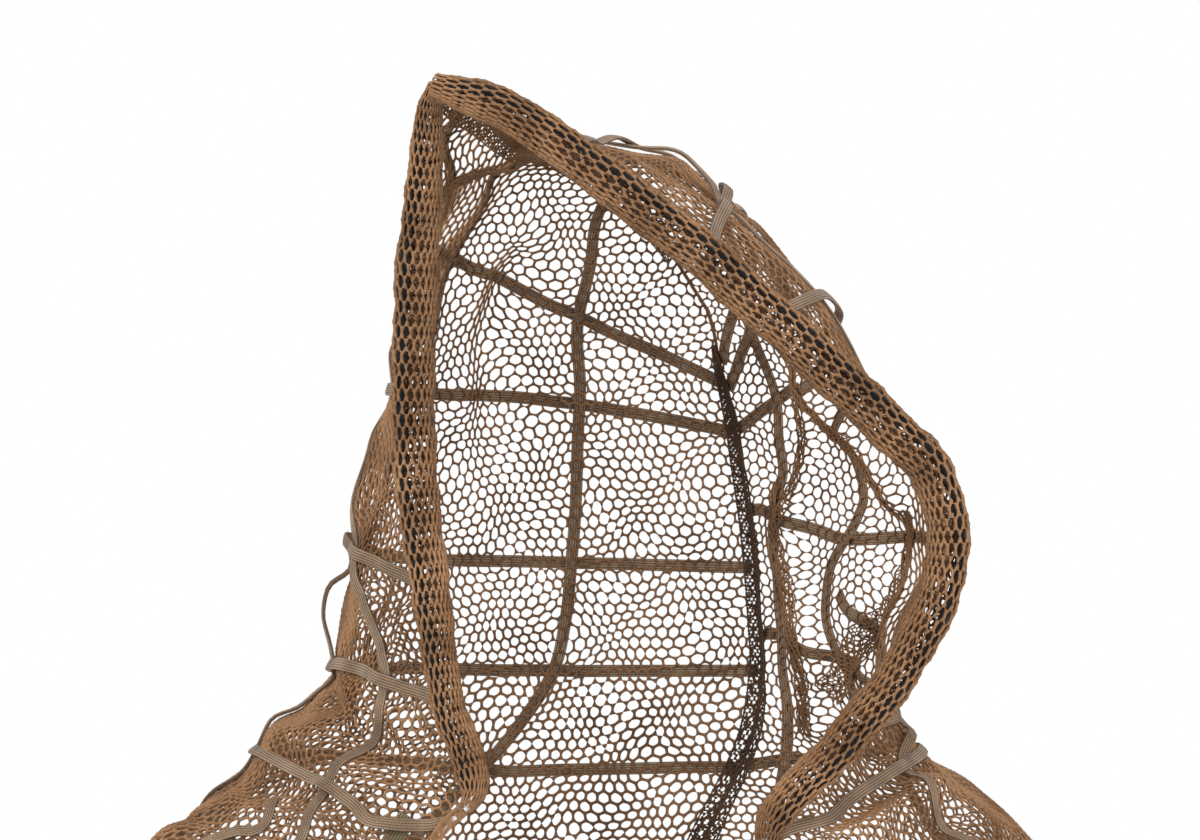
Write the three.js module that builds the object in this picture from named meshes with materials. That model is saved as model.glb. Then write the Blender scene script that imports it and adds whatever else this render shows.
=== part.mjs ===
// Base net of a camouflage hood with a short shoulder cape, in its worn shape.
// Units are millimetres, +Z is up and the face opening looks along -Y.
// The origin is the point under the crown where the top of the head holds the hood.
//
// The hood is two net panels, left and right, sewn together along one seam that runs from the
// peak over the crown and down the back. A place on a panel is (across, up): across runs from
// the front edge (0) round the side to the seam (1), and up from the hem (0) to the crown (1).

import * as THREE from 'three';

// Driving sizes
const CLOTH = 1.6; // thickness of the net
const SEAM_GAP = 2.6; // each panel stops this far from the seam line
const TUNNEL_STEPS = 8; // facets round the drawcord tunnel
const WALL_STEPS = 20; // facets from the tunnel to the seam
const LAID_ON = 1.8; // air between the net and what is sewn on it
const CORD = { width: 6.0, thick: 2.0 };
const TAPE = { width: 9.0, thick: 1.6 };
const ELASTIC = { width: 4.6, thick: 3.0 };
const BINDING = { width: 10.0, thick: 1.2 };
const CORD_STEP = 12; // length of one facet of a sewn cord
const PASS = { near: 16, far: 28, air: 1.8 }; // a ring rises where it passes over a length cord
const GIRTH = 300; // typical length of a panel across, for the spread of a fold
const HEIGHT = 480; // typical length of a panel up

// Sections from the hem up to the crown: where each stands, how many facet rows follow it, and
// its point on the back seam.
const LEVELS = [
  { up: 0.0, rows: 4, seam: [20, 122, -405] },
  { up: 0.16, rows: 3, seam: [45, 112, -330] },
  { up: 0.28, rows: 3, seam: [70, 102, -275] },
  { up: 0.38, rows: 2, seam: [76, 102, -240] },
  { up: 0.46, rows: 2, seam: [75, 106, -215] },
  { up: 0.54, rows: 2, seam: [73, 109, -190] },
  { up: 0.62, rows: 2, seam: [70, 111, -165] },
  { up: 0.7, rows: 3, seam: [66, 112, -140] },
  { up: 0.78, rows: 3, seam: [63, 112, -122] },
  { up: 0.86, rows: 3, seam: [59, 111, -104] },
  { up: 0.93, rows: 3, seam: [55, 110, -88] },
  { up: 0.97, rows: 2, seam: [53, 110, -76] },
  { up: 1.0, rows: 0, seam: [50, 108, -65] },
];

// The crown seam, from the peak back to the top of the back seam
const CROWN = [[-76, -98, 29], [-59, -50, 22], [-41, 0, 8], [-15, 50, 4], [20, 90, -22]];

// One row for each section below the crown
const LEFT = [
  // edge           near              side              rear              back
  [[-84, -96, -398], [-150, -104, -396], [-246, -25, -352], [-240, 62, -354], [-120, 122, -396]],
  [[-77, -84, -309], [-120, -88, -318], [-190, -18, -300], [-182, 62, -302], [-80, 112, -322]],
  [[-59, -76, -283], [-95, -66, -275], [-146, -8, -262], [-136, 62, -266], [-56, 106, -272]],
  [[-71, -70, -244], [-100, -48, -240], [-126, 0, -232], [-116, 60, -236], [-48, 104, -240]],
  [[-76, -62, -215], [-102, -36, -210], [-120, 5, -204], [-108, 62, -210], [-44, 106, -214]],
  [[-80, -57, -187], [-100, -28, -184], [-114, 10, -178], [-104, 65, -184], [-42, 108, -187]],
  [[-85, -50, -154], [-100, -20, -153], [-111, 15, -151], [-98, 68, -155], [-40, 107, -160]],
  [[-87, -46, -122], [-98, -15, -122], [-103, 20, -120], [-90, 70, -124], [-35, 106, -130]],
  [[-87, -48, -86], [-92, -15, -84], [-92, 25, -84], [-78, 70, -88], [-28, 103, -98]],
  [[-85, -58, -46], [-84, -15, -44], [-80, 25, -42], [-66, 65, -48], [-20, 98, -70]],
  [[-81, -70, -11], [-76, -30, -11], [-64, 10, -12], [-48, 55, -18], [-4, 90, -45]],
  [[-79, -85, 15], [-71, -40, 9], [-58, 0, 2], [-38, 50, -4], [4, 88, -30]],
];

const RIGHT = [
  // edge           near              side              rear              back
  [[84, -98, -404], [150, -104, -400], [246, -22, -356], [240, 64, -358], [136, 118, -398]],
  [[76, -94, -340], [118, -98, -330], [188, -12, -312], [180, 62, -312], [120, 104, -326]],
  [[72, -92, -298], [100, -78, -292], [143, 0, -272], [132, 62, -272], [104, 92, -274]],
  [[104, -85, -262], [118, -40, -256], [132, 10, -250], [118, 60, -244], [96, 84, -241]],
  [[133, -72, -227], [136, -25, -222], [134, 30, -216], [114, 60, -214], [94, 84, -214]],
  [[152, -67, -185], [152, -20, -185], [146, 35, -186], [118, 62, -188], [95, 88, -190]],
  [[147, -72, -145], [148, -25, -148], [143, 30, -152], [118, 65, -158], [94, 92, -162]],
  [[121, -83, -117], [125, -35, -113], [127, 25, -118], [112, 65, -125], [90, 92, -132]],
  [[85, -98, -84], [101, -45, -71], [108, 20, -84], [100, 65, -98], [82, 95, -107]],
  [[41, -110, -45], [57, -50, -28], [71, 10, -31], [76, 60, -48], [70, 92, -72]],
  [[-3, -112, -11], [14, -55, 0], [36, 5, -3], [51, 55, -17], [58, 90, -48]],
  [[-42, -108, 17], [-26, -55, 11], [1, 5, 7], [25, 55, 0], [42, 88, -28]],
];

// The front edge: a narrow rolled hem on the cape, the drawcord tunnel round the face, and the
// gathered end at the peak. wide and deep are half sizes of the roll.
const ROLL = {
  left: [
    { up: 0.0, wide: 2.5, deep: 1.8 },
    { up: 0.24, wide: 2.5, deep: 1.8 },
    { up: 0.3, wide: 7.0, deep: 4.0 },
    { up: 0.42, wide: 7.0, deep: 5.0 },
    { up: 0.62, wide: 9.0, deep: 5.0 },
    { up: 0.86, wide: 9.0, deep: 5.5 },
    { up: 0.95, wide: 7.0, deep: 5.0 },
    { up: 0.98, wide: 5.0, deep: 4.0 },
    { up: 1.0, wide: 2.5, deep: 2.0 },
  ],
  right: [
    { up: 0.0, wide: 2.5, deep: 1.8 },
    { up: 0.24, wide: 2.5, deep: 1.8 },
    { up: 0.3, wide: 7.5, deep: 4.5 },
    { up: 0.42, wide: 8.5, deep: 5.5 },
    { up: 0.7, wide: 9.5, deep: 5.5 },
    { up: 0.93, wide: 9.0, deep: 5.5 },
    { up: 0.98, wide: 7.0, deep: 5.0 },
    { up: 1.0, wide: 2.5, deep: 2.0 },
  ],
};
const ROLL_LEAVES = 392; // degrees round the roll where the wall leaves it
const ROLL_PULLED_BACK = 8; // the two rolls stop this far below the peak

// Folds: a crest (depth above 0) or a trough, along a line of places, in millimetres
const FOLDS = {
  left: [
    { depth: 4, width: 14, line: [[0.22, 0.68], [0.2, 0.6], [0.13, 0.48]] },
    { depth: -4, width: 9, line: [[0.07, 0.66], [0.06, 0.5], [0.05, 0.4]] },
    { depth: -6, width: 12, line: [[0.05, 0.28], [0.16, 0.32], [0.27, 0.37]] },
    { depth: 5, width: 11, line: [[0.06, 0.24], [0.2, 0.27], [0.36, 0.28]] },
    { depth: -6, width: 14, line: [[0.08, 0.16], [0.2, 0.2], [0.34, 0.21]] },
    { depth: -7, width: 9, line: [[0.14, 0.935], [0.27, 0.96], [0.35, 0.98], [0.42, 0.99]] },
    { depth: 5, width: 16, line: [[0.55, 0.86], [0.6, 0.7], [0.66, 0.5]] },
    { depth: -5, width: 14, line: [[0.78, 0.5], [0.76, 0.3], [0.7, 0.1]] },
    { depth: 9, width: 18, line: [[0.26, 0.0], [0.28, 0.12]] },
    { depth: -9, width: 16, line: [[0.42, 0.0], [0.4, 0.14]] },
    { depth: 10, width: 20, line: [[0.58, 0.0], [0.56, 0.2]] },
    { depth: -8, width: 16, line: [[0.86, 0.0], [0.86, 0.16]] },
  ],
  right: [
    {
      depth: -10, width: 13,
      line: [[0.9, 0.63], [0.89, 0.56], [0.86, 0.51], [0.84, 0.43], [0.87, 0.31]],
    },
    { depth: -5, width: 10, line: [[0.75, 0.78], [0.7, 0.73], [0.6, 0.675], [0.54, 0.62]] },
    { depth: 4, width: 12, line: [[0.62, 0.6], [0.6, 0.5], [0.62, 0.42]] },
    { depth: 5, width: 9, line: [[0.1, 0.225], [0.22, 0.235], [0.38, 0.24]] },
    { depth: -5, width: 9, line: [[0.1, 0.19], [0.22, 0.2], [0.36, 0.21]] },
    { depth: -4, width: 10, line: [[0.2, 0.93], [0.3, 0.89], [0.36, 0.84]] },
    { depth: 4, width: 12, line: [[0.3, 0.42], [0.36, 0.36], [0.42, 0.3]] },
    { depth: 8, width: 18, line: [[0.3, 0.0], [0.3, 0.13]] },
    { depth: -9, width: 16, line: [[0.45, 0.0], [0.43, 0.15]] },
    { depth: 9, width: 20, line: [[0.62, 0.0], [0.6, 0.2]] },
    { depth: -7, width: 16, line: [[0.8, 0.0], [0.79, 0.22]] },
  ],
};

// Flat cords sewn on the outside. Each place is [across, up, slack]: slack is the height of a
// loop that is left free between two stitches. The length cords come first, the rings pass over.
const LENGTH_CORDS = [
  {
    name: 'cord_left_front', on: 'left', size: CORD,
    path: [[0.16, 0.955, 0], [0.22, 0.91, 0], [0.27, 0.86, 0], [0.28, 0.8, 2], [0.28, 0.775, 8],
      [0.27, 0.75, 5], [0.25, 0.725, 0], [0.24, 0.69, 0], [0.22, 0.64, 0], [0.21, 0.59, 0],
      [0.17, 0.54, 0], [0.135, 0.49, 0], [0.11, 0.45, 0], [0.09, 0.42, 0], [0.085, 0.39, 0],
      [0.105, 0.345, 0], [0.135, 0.3, 0], [0.15, 0.26, 0], [0.155, 0.2, 0], [0.16, 0.1, 0],
      [0.165, 0.02, 0]],
  },
  {
    name: 'cord_left_side', on: 'left', size: CORD,
    path: [[0.42, 0.97, 0], [0.41, 0.9, 0], [0.4, 0.84, 0], [0.38, 0.76, 0], [0.36, 0.7, 0],
      [0.33, 0.62, 0], [0.3, 0.57, 3], [0.285, 0.545, 4], [0.28, 0.51, 1], [0.28, 0.48, 8],
      [0.28, 0.44, 8], [0.28, 0.4, 2], [0.285, 0.355, 0], [0.32, 0.307, 1], [0.34, 0.262, 1],
      [0.37, 0.22, 0], [0.4, 0.165, 0], [0.41, 0.1, 0], [0.415, 0.02, 0]],
  },
  {
    name: 'cord_left_shoulder', on: 'left', size: CORD,
    path: [[0.215, 0.212, 0], [0.205, 0.18, 0], [0.225, 0.165, 2], [0.24, 0.14, 0],
      [0.25, 0.08, 0], [0.255, 0.02, 0]],
  },
  {
    name: 'cord_left_back', on: 'left', size: CORD,
    path: [[0.7, 0.95, 0], [0.71, 0.84, 0], [0.72, 0.7, 0], [0.72, 0.5, 0], [0.71, 0.3, 0],
      [0.7, 0.14, 0], [0.7, 0.02, 0]],
  },
  {
    name: 'cord_right_front', on: 'right', size: CORD,
    path: [[0.32, 0.975, 0], [0.335, 0.95, 1], [0.345, 0.93, 4], [0.345, 0.91, 5],
      [0.335, 0.892, 4], [0.31, 0.875, 2], [0.28, 0.857, 1], [0.26, 0.84, 0], [0.25, 0.82, 0],
      [0.255, 0.78, 0], [0.28, 0.7, 0], [0.3, 0.6, 0], [0.33, 0.5, 0], [0.36, 0.4, 0],
      [0.4, 0.335, 2], [0.4, 0.31, 3], [0.35, 0.275, 0], [0.32, 0.2, 0], [0.305, 0.1, 0],
      [0.3, 0.02, 0]],
  },
  {
    name: 'cord_right_rear', on: 'right', size: CORD,
    path: [[0.6, 0.965, 0], [0.6, 0.86, 0], [0.62, 0.78, 0], [0.658, 0.705, 0], [0.65, 0.633, 0],
      [0.675, 0.605, 0], [0.717, 0.575, 0], [0.76, 0.54, 0], [0.775, 0.5, 0], [0.76, 0.42, 0],
      [0.73, 0.3, 0], [0.69, 0.15, 0], [0.67, 0.02, 0]],
  },
  {
    name: 'cord_right_back', on: 'right', size: CORD,
    path: [[0.86, 0.9, 0], [0.87, 0.82, 0], [0.883, 0.745, 0], [0.892, 0.68, 0], [0.905, 0.62, 0],
      [0.93, 0.55, 0], [0.94, 0.42, 0], [0.93, 0.28, 0], [0.9, 0.15, 0], [0.88, 0.02, 0]],
  },
  {
    name: 'cord_right_brace', on: 'right', size: CORD,
    path: [[0.725, 0.5, 0], [0.692, 0.478, 0], [0.65, 0.463, 0], [0.6, 0.446, 0],
      [0.53, 0.425, 0], [0.45, 0.4, 0]],
  },
  {
    name: 'tape_left_front', on: 'left', size: TAPE,
    path: [[0.055, 0.225, 0], [0.055, 0.17, 0], [0.05, 0.1, 0], [0.05, 0.02, 0]],
  },
  {
    name: 'tape_right_front', on: 'right', size: TAPE,
    path: [[0.06, 0.225, 0], [0.06, 0.17, 0], [0.055, 0.1, 0], [0.055, 0.02, 0]],
  },
];

const RING_CORDS = [
  {
    name: 'ring_left_brow', on: 'left', size: CORD,
    path: [[0.05, 0.872, 0], [0.2, 0.868, 0], [0.45, 0.866, 0], [0.7, 0.87, 0], [0.95, 0.875, 0]],
  },
  {
    name: 'ring_left_ear', on: 'left', size: CORD,
    path: [[0.05, 0.74, 0], [0.25, 0.736, 1.5], [0.5, 0.745, 0], [0.75, 0.758, 0], [0.96, 0.768, 0]],
  },
  {
    name: 'ring_left_chin', on: 'left', size: CORD,
    path: [[0.05, 0.532, 0], [0.1, 0.537, 0], [0.17, 0.541, 1], [0.22, 0.552, 5], [0.3, 0.548, 1],
      [0.5, 0.54, 0], [0.75, 0.54, 0], [0.97, 0.54, 0]],
  },
  {
    name: 'ring_left_neck', on: 'left', size: CORD,
    path: [[0.04, 0.388, 0], [0.13, 0.393, 0], [0.2, 0.388, 0], [0.275, 0.378, 2], [0.4, 0.378, 0],
      [0.6, 0.38, 0], [0.8, 0.38, 0], [0.97, 0.38, 0]],
  },
  {
    name: 'ring_left_shoulder', on: 'left', size: CORD,
    path: [[0.075, 0.213, 0], [0.108, 0.227, 0], [0.158, 0.238, 0], [0.225, 0.245, 0],
      [0.3, 0.245, 0], [0.38, 0.24, 3], [0.5, 0.235, 0], [0.75, 0.24, 0], [0.97, 0.25, 0]],
  },
  {
    name: 'ring_left_hem', on: 'left', size: CORD,
    path: [[0.08, 0.07, 0], [0.25, 0.085, 0], [0.5, 0.095, 0], [0.75, 0.09, 0], [0.97, 0.085, 0]],
  },
  {
    name: 'ring_right_crown', on: 'right', size: CORD,
    path: [[0.06, 0.948, 0], [0.18, 0.95, 1], [0.3, 0.952, 4], [0.42, 0.948, 1], [0.62, 0.935, 0],
      [0.84, 0.915, 0]],
  },
  {
    name: 'ring_right_brow', on: 'right', size: CORD,
    path: [[0.06, 0.857, 0], [0.125, 0.86, 0], [0.2, 0.866, 1], [0.3, 0.874, 3], [0.4, 0.89, 4],
      [0.46, 0.9, 2], [0.55, 0.9, 0], [0.7, 0.885, 0], [0.94, 0.86, 0]],
  },
  {
    name: 'ring_right_ear', on: 'right', size: CORD,
    path: [[0.06, 0.8, 0], [0.175, 0.795, 1], [0.28, 0.79, 4], [0.36, 0.786, 3], [0.48, 0.79, 0],
      [0.6, 0.795, 0], [0.75, 0.775, 0], [0.81, 0.78, 0], [0.88, 0.777, 0], [0.96, 0.775, 0]],
  },
  {
    name: 'ring_right_chin', on: 'right', size: CORD,
    path: [[0.06, 0.56, 0], [0.2, 0.565, 0], [0.45, 0.57, 0], [0.717, 0.578, 0], [0.775, 0.587, 0],
      [0.85, 0.6, 0], [0.917, 0.615, 0], [0.965, 0.628, 0]],
  },
  {
    name: 'ring_right_neck', on: 'right', size: CORD,
    path: [[0.05, 0.36, 0], [0.2, 0.37, 0], [0.45, 0.375, 0], [0.65, 0.39, 0], [0.75, 0.405, 0],
      [0.883, 0.427, 0], [0.965, 0.437, 0]],
  },
  {
    name: 'ring_right_shoulder', on: 'right', size: CORD,
    path: [[0.1, 0.272, 0], [0.16, 0.28, 0], [0.267, 0.281, 0], [0.342, 0.278, 2], [0.45, 0.275, 0],
      [0.567, 0.273, 0], [0.75, 0.265, 0], [0.965, 0.255, 0]],
  },
  {
    name: 'ring_right_hem', on: 'right', size: CORD,
    path: [[0.09, 0.085, 0], [0.25, 0.1, 0], [0.5, 0.105, 0], [0.75, 0.1, 0], [0.965, 0.09, 0]],
  },
];

const COLOURS = { net: 0x8a6a4a, cord: 0x8f7a62, tape: 0x7d7350, elastic: 0x2b2a2c, binding: 0x4a3526 };

// Splines and small vector helpers
const vector = (point) => new THREE.Vector3(...point);
const clamp = THREE.MathUtils.clamp;
const radians = THREE.MathUtils.degToRad;

// A smooth curve through points at uneven stations. first is the slope at the start, if given.
function smoothCurve(stations, points, at, first) {
  let span = stations.length - 2;
  while (span > 0 && stations[span] > at) span -= 1;
  const slope = (index) => {
    if (index === 0 && first) return first.clone();
    const before = Math.max(index - 1, 0);
    const after = Math.min(index + 1, points.length - 1);
    return points[after].clone().sub(points[before]).divideScalar(stations[after] - stations[before]);
  };
  const length = stations[span + 1] - stations[span];
  const t = (at - stations[span]) / length;
  const result = points[span].clone().multiplyScalar(2 * t ** 3 - 3 * t ** 2 + 1);
  result.addScaledVector(slope(span), (t ** 3 - 2 * t ** 2 + t) * length);
  result.addScaledVector(points[span + 1], 3 * t ** 2 - 2 * t ** 3);
  return result.addScaledVector(slope(span + 1), (t ** 3 - t ** 2) * length);
}

// Reads one column of a table of rows by straight steps between the rows
function readTable(rows, column, up) {
  let index = 0;
  while (index < rows.length - 2 && rows[index + 1].up < up) index += 1;
  const [low, high] = [rows[index], rows[index + 1]];
  const t = clamp((up - low.up) / (high.up - low.up), 0, 1);
  return low[column] + (high[column] - low[column]) * t;
}

// A panel's control points as vectors, one row a section, the seam point last
function panelTable(sections) {
  const rows = sections.map((row, index) => [...row, LEVELS[index].seam].map(vector));
  rows.push([...CROWN, LEVELS.at(-1).seam].map(vector));
  return rows;
}

const TABLES = { left: panelTable(LEFT), right: panelTable(RIGHT) };
const STATIONS = LEVELS.map((level) => level.up);

function sectionPoint(side, column, up) {
  return smoothCurve(STATIONS, TABLES[side].map((row) => row[column]), up);
}

// The front roll's axes at one height: along the edge, outward in the opening's plane, and back
function rollAxes(side, up) {
  const step = 0.004;
  const above = sectionPoint(side, 0, Math.min(up + step, 1));
  const along = above.sub(sectionPoint(side, 0, Math.max(up - step, 0))).normalize();
  const outward = along.clone().cross(new THREE.Vector3(0, 1, 0)).normalize();
  if (side === 'right') outward.negate();
  const back = along.clone().cross(outward).normalize();
  if (back.y < 0) back.negate();
  return { along, outward, back };
}

function rollPoint(side, up, degrees) {
  const { outward, back } = rollAxes(side, up);
  const angle = radians(degrees);
  return sectionPoint(side, 0, up)
    .addScaledVector(outward, readTable(ROLL[side], 'wide', up) * Math.cos(angle))
    .addScaledVector(back, readTable(ROLL[side], 'deep', up) * Math.sin(angle));
}

// A narrow roll starts further round, so that its raw edge stays clear of the wall
function rollStarts(side, up) {
  return clamp(58 + (9 - readTable(ROLL[side], 'wide', up)) * 14, 58, 150);
}

// The wall before its folds, from the roll (across 0) to the seam (across 1)
function plainWall(side, across, up) {
  const { outward, back } = rollAxes(side, up);
  const angle = radians(ROLL_LEAVES);
  const leaving = outward.multiplyScalar(-readTable(ROLL[side], 'wide', up) * Math.sin(angle));
  leaving.addScaledVector(back, readTable(ROLL[side], 'deep', up) * Math.cos(angle));
  const points = [rollPoint(side, up, ROLL_LEAVES)];
  for (let column = 1; column <= 5; column += 1) points.push(sectionPoint(side, column, up));
  const lengths = [0];
  points.slice(1).forEach((point, index) => {
    lengths.push(lengths[index] + point.distanceTo(points[index]));
  });
  const total = lengths.at(-1);
  const stations = lengths.map((length) => length / total);
  return smoothCurve(stations, points, across, leaving.normalize().multiplyScalar(total * 0.9));
}

// How far a place is from a line of places, in millimetres on the cloth
function distanceToLine(across, up, line) {
  let nearest = Infinity;
  for (let index = 0; index < line.length - 1; index += 1) {
    const [x0, y0] = [line[index][0] * GIRTH, line[index][1] * HEIGHT];
    const [x1, y1] = [line[index + 1][0] * GIRTH, line[index + 1][1] * HEIGHT];
    const [x, y] = [across * GIRTH, up * HEIGHT];
    const [dx, dy] = [x1 - x0, y1 - y0];
    const t = clamp(((x - x0) * dx + (y - y0) * dy) / (dx ** 2 + dy ** 2), 0, 1);
    nearest = Math.min(nearest, Math.hypot(x - x0 - t * dx, y - y0 - t * dy));
  }
  return nearest;
}

// Folds and a slight unevenness, which fade out at the roll, the seam and the crown
function foldHeight(side, across, up) {
  let height = 1.2 * Math.sin(across * 31 + up * 17) * Math.sin(up * 43 - across * 9);
  for (const fold of FOLDS[side]) {
    height += fold.depth * Math.exp(-((distanceToLine(across, up, fold.line) / fold.width) ** 2));
  }
  const fade = (distance) => THREE.MathUtils.smoothstep(distance, 0, 0.06);
  return height * fade(across) * fade(1 - across) * fade((1 - up) * 2);
}

function wallPoint(side, across, up) {
  const step = 0.01;
  const alongAcross = plainWall(side, Math.min(across + step, 1), up);
  alongAcross.sub(plainWall(side, Math.max(across - step, 0), up));
  const alongUp = plainWall(side, across, Math.min(up + step, 1));
  alongUp.sub(plainWall(side, across, Math.max(up - step, 0)));
  const outward = alongUp.cross(alongAcross).normalize();
  if (side === 'right') outward.negate();
  return plainWall(side, across, up).addScaledVector(outward, foldHeight(side, across, up));
}

// The heights of the facet rows, from the hem to the crown
function rowHeights() {
  const heights = [];
  LEVELS.slice(0, -1).forEach((level, index) => {
    const next = LEVELS[index + 1].up;
    for (let row = 0; row < level.rows; row += 1) {
      heights.push(level.up + ((next - level.up) * row) / level.rows);
    }
  });
  heights.push(1);
  return heights;
}

const HEIGHTS = rowHeights();

// The middle of a panel's cloth as rows of points: the roll first, then the wall
function panelRows(side) {
  const rows = HEIGHTS.map((up) => {
    const start = rollStarts(side, up);
    const row = [];
    for (let step = 0; step < TUNNEL_STEPS; step += 1) {
      row.push(rollPoint(side, up, start + ((ROLL_LEAVES - start) * step) / TUNNEL_STEPS));
    }
    for (let step = 0; step <= WALL_STEPS; step += 1) row.push(wallPoint(side, step / WALL_STEPS, up));
    return row;
  });
  openAtSeam(rows);
  return rows;
}

// The seam line as grid places from the peak to the hem, each with its neighbour in the cloth
function seamPath(rows) {
  const [top, end] = [rows.length - 1, rows[0].length - 1];
  const path = [];
  for (let c = TUNNEL_STEPS; c < end; c += 1) path.push({ r: top, c, inner: [top - 1, c] });
  path.push({ r: top, c: end, inner: [top - 1, end - 1] });
  for (let r = top - 1; r >= 0; r -= 1) path.push({ r, c: end, inner: [r, end - 1] });
  return path;
}

// Draws the panel's border back from the seam line, and its roll back from the peak
function openAtSeam(rows) {
  const path = seamPath(rows);
  const at = ({ r, c }) => rows[r][c];
  const drawn = path.map((place, index) => {
    const along = at(path[Math.min(index + 1, path.length - 1)]).clone();
    along.sub(at(path[Math.max(index - 1, 0)])).normalize();
    const inward = rows[place.inner[0]][place.inner[1]].clone().sub(at(place));
    inward.addScaledVector(along, -inward.dot(along)).normalize();
    return shifted(at(place), inward, SEAM_GAP);
  });
  const top = rows.length - 1;
  for (let c = 0; c <= TUNNEL_STEPS; c += 1) {
    const below = rows[top - 1][c].clone().sub(rows[top][c]).normalize();
    rows[top][c] = shifted(rows[top][c], below, ROLL_PULLED_BACK);
  }
  path.slice(1).forEach((place, index) => {
    rows[place.r][place.c] = drawn[index + 1];
  });
}

// Normals at the points of a grid, pointing out of the hood
function gridNormals(rows, side) {
  return rows.map((row, r) => row.map((point, c) => {
    const across = row[Math.min(c + 1, row.length - 1)].clone().sub(row[Math.max(c - 1, 0)]);
    const up = rows[Math.min(r + 1, rows.length - 1)][c].clone();
    up.sub(rows[Math.max(r - 1, 0)][c]);
    const normal = up.cross(across).normalize();
    return side === 'right' ? normal.negate() : normal;
  }));
}

// Closed body between an outer and an inner grid of points
function slabGeometry(outer, inner) {
  const [height, width] = [outer.length, outer[0].length];
  const positions = [...outer.flat(), ...inner.flat()].flatMap((point) => point.toArray());
  const outerIndex = (r, c) => r * width + c;
  const innerIndex = (r, c) => height * width + r * width + c;
  const faces = [];
  const quad = (a, b, c, d) => faces.push(a, b, c, a, c, d);
  for (let r = 0; r < height - 1; r += 1) {
    for (let c = 0; c < width - 1; c += 1) {
      quad(outerIndex(r, c), outerIndex(r, c + 1), outerIndex(r + 1, c + 1), outerIndex(r + 1, c));
      quad(innerIndex(r, c), innerIndex(r + 1, c), innerIndex(r + 1, c + 1), innerIndex(r, c + 1));
    }
    quad(outerIndex(r, 0), outerIndex(r + 1, 0), innerIndex(r + 1, 0), innerIndex(r, 0));
    const end = width - 1;
    quad(outerIndex(r + 1, end), outerIndex(r, end), innerIndex(r, end), innerIndex(r + 1, end));
  }
  for (let c = 0; c < width - 1; c += 1) {
    quad(outerIndex(0, c + 1), outerIndex(0, c), innerIndex(0, c), innerIndex(0, c + 1));
    const top = height - 1;
    quad(outerIndex(top, c), outerIndex(top, c + 1), innerIndex(top, c + 1), innerIndex(top, c));
  }
  const geometry = new THREE.BufferGeometry();
  geometry.setAttribute('position', new THREE.Float32BufferAttribute(positions, 3));
  geometry.setIndex(facesPointOut(positions, faces) ? faces : faces.reverse());
  geometry.computeVertexNormals();
  return geometry;
}

// True when the faces enclose a positive volume
function facesPointOut(positions, faces) {
  const corner = (index) => new THREE.Vector3().fromArray(positions, index * 3);
  let volume = 0;
  for (let f = 0; f < faces.length; f += 3) {
    volume += corner(faces[f]).dot(corner(faces[f + 1]).cross(corner(faces[f + 2])));
  }
  return volume > 0;
}

function shifted(point, direction, distance) {
  return point.clone().addScaledVector(direction, distance);
}

function makePanel(side) {
  const rows = panelRows(side);
  const normals = gridNormals(rows, side);
  const layer = (distance) => rows.map((row, r) => (
    row.map((point, c) => shifted(point, normals[r][c], distance))
  ));
  return { rows, normals, geometry: slabGeometry(layer(CLOTH / 2), layer(-CLOTH / 2)) };
}

const PANELS = { left: makePanel('left'), right: makePanel('right') };

// The place and outward direction of (across, up) on a panel's facets
function onPanel(side, across, up) {
  const { rows, normals } = PANELS[side];
  let r = 0;
  while (r < HEIGHTS.length - 2 && HEIGHTS[r + 1] < up) r += 1;
  const rt = clamp((up - HEIGHTS[r]) / (HEIGHTS[r + 1] - HEIGHTS[r]), 0, 1);
  const column = clamp(across, 0, 1) * WALL_STEPS;
  const c = Math.min(Math.floor(column), WALL_STEPS - 1);
  const ct = column - c;
  const blend = (grid) => {
    const low = grid[r][TUNNEL_STEPS + c].clone().lerp(grid[r][TUNNEL_STEPS + c + 1], ct);
    const high = grid[r + 1][TUNNEL_STEPS + c].clone().lerp(grid[r + 1][TUNNEL_STEPS + c + 1], ct);
    return low.lerp(high, rt);
  };
  return { point: blend(rows), normal: blend(normals).normalize() };
}

// Fine places along a sewn cord: the cloth under its middle and under its two edges
function cordGround(cord) {
  const places = cord.path.map(vector);
  const stations = places.map((place, index) => index);
  const samples = 24;
  const last = (places.length - 1) * samples;
  const at = (step) => smoothCurve(stations, places, clamp(step, 0, last) / samples);
  const ground = [];
  for (let step = 0; step <= last; step += 1) {
    const place = at(step);
    const along = at(step + 1).sub(at(step - 1));
    const sideways = new THREE.Vector2(-along.y * HEIGHT, along.x * GIRTH);
    sideways.setLength(cord.size.width / 2);
    const { point, normal } = onPanel(cord.on, place.x, place.y);
    const edges = [-1, 1].map((sign) => {
      const across = place.x + (sign * sideways.x) / GIRTH;
      const up = place.y + (sign * sideways.y) / HEIGHT;
      return onPanel(cord.on, across, up).point;
    });
    ground.push({ point, normal, under: [point, ...edges], slack: Math.max(place.z, 0) });
  }
  return ground;
}

// How much a ring has to rise at a place to pass over the length cords
function riseOver(point, lift, size, passed) {
  let rise = 0;
  for (const cord of passed) {
    const over = 1 - THREE.MathUtils.smoothstep(cord.point.distanceTo(point), PASS.near, PASS.far);
    rise = Math.max(rise, (cord.lift + size.thick + PASS.air - lift) * over);
  }
  return rise;
}

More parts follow.
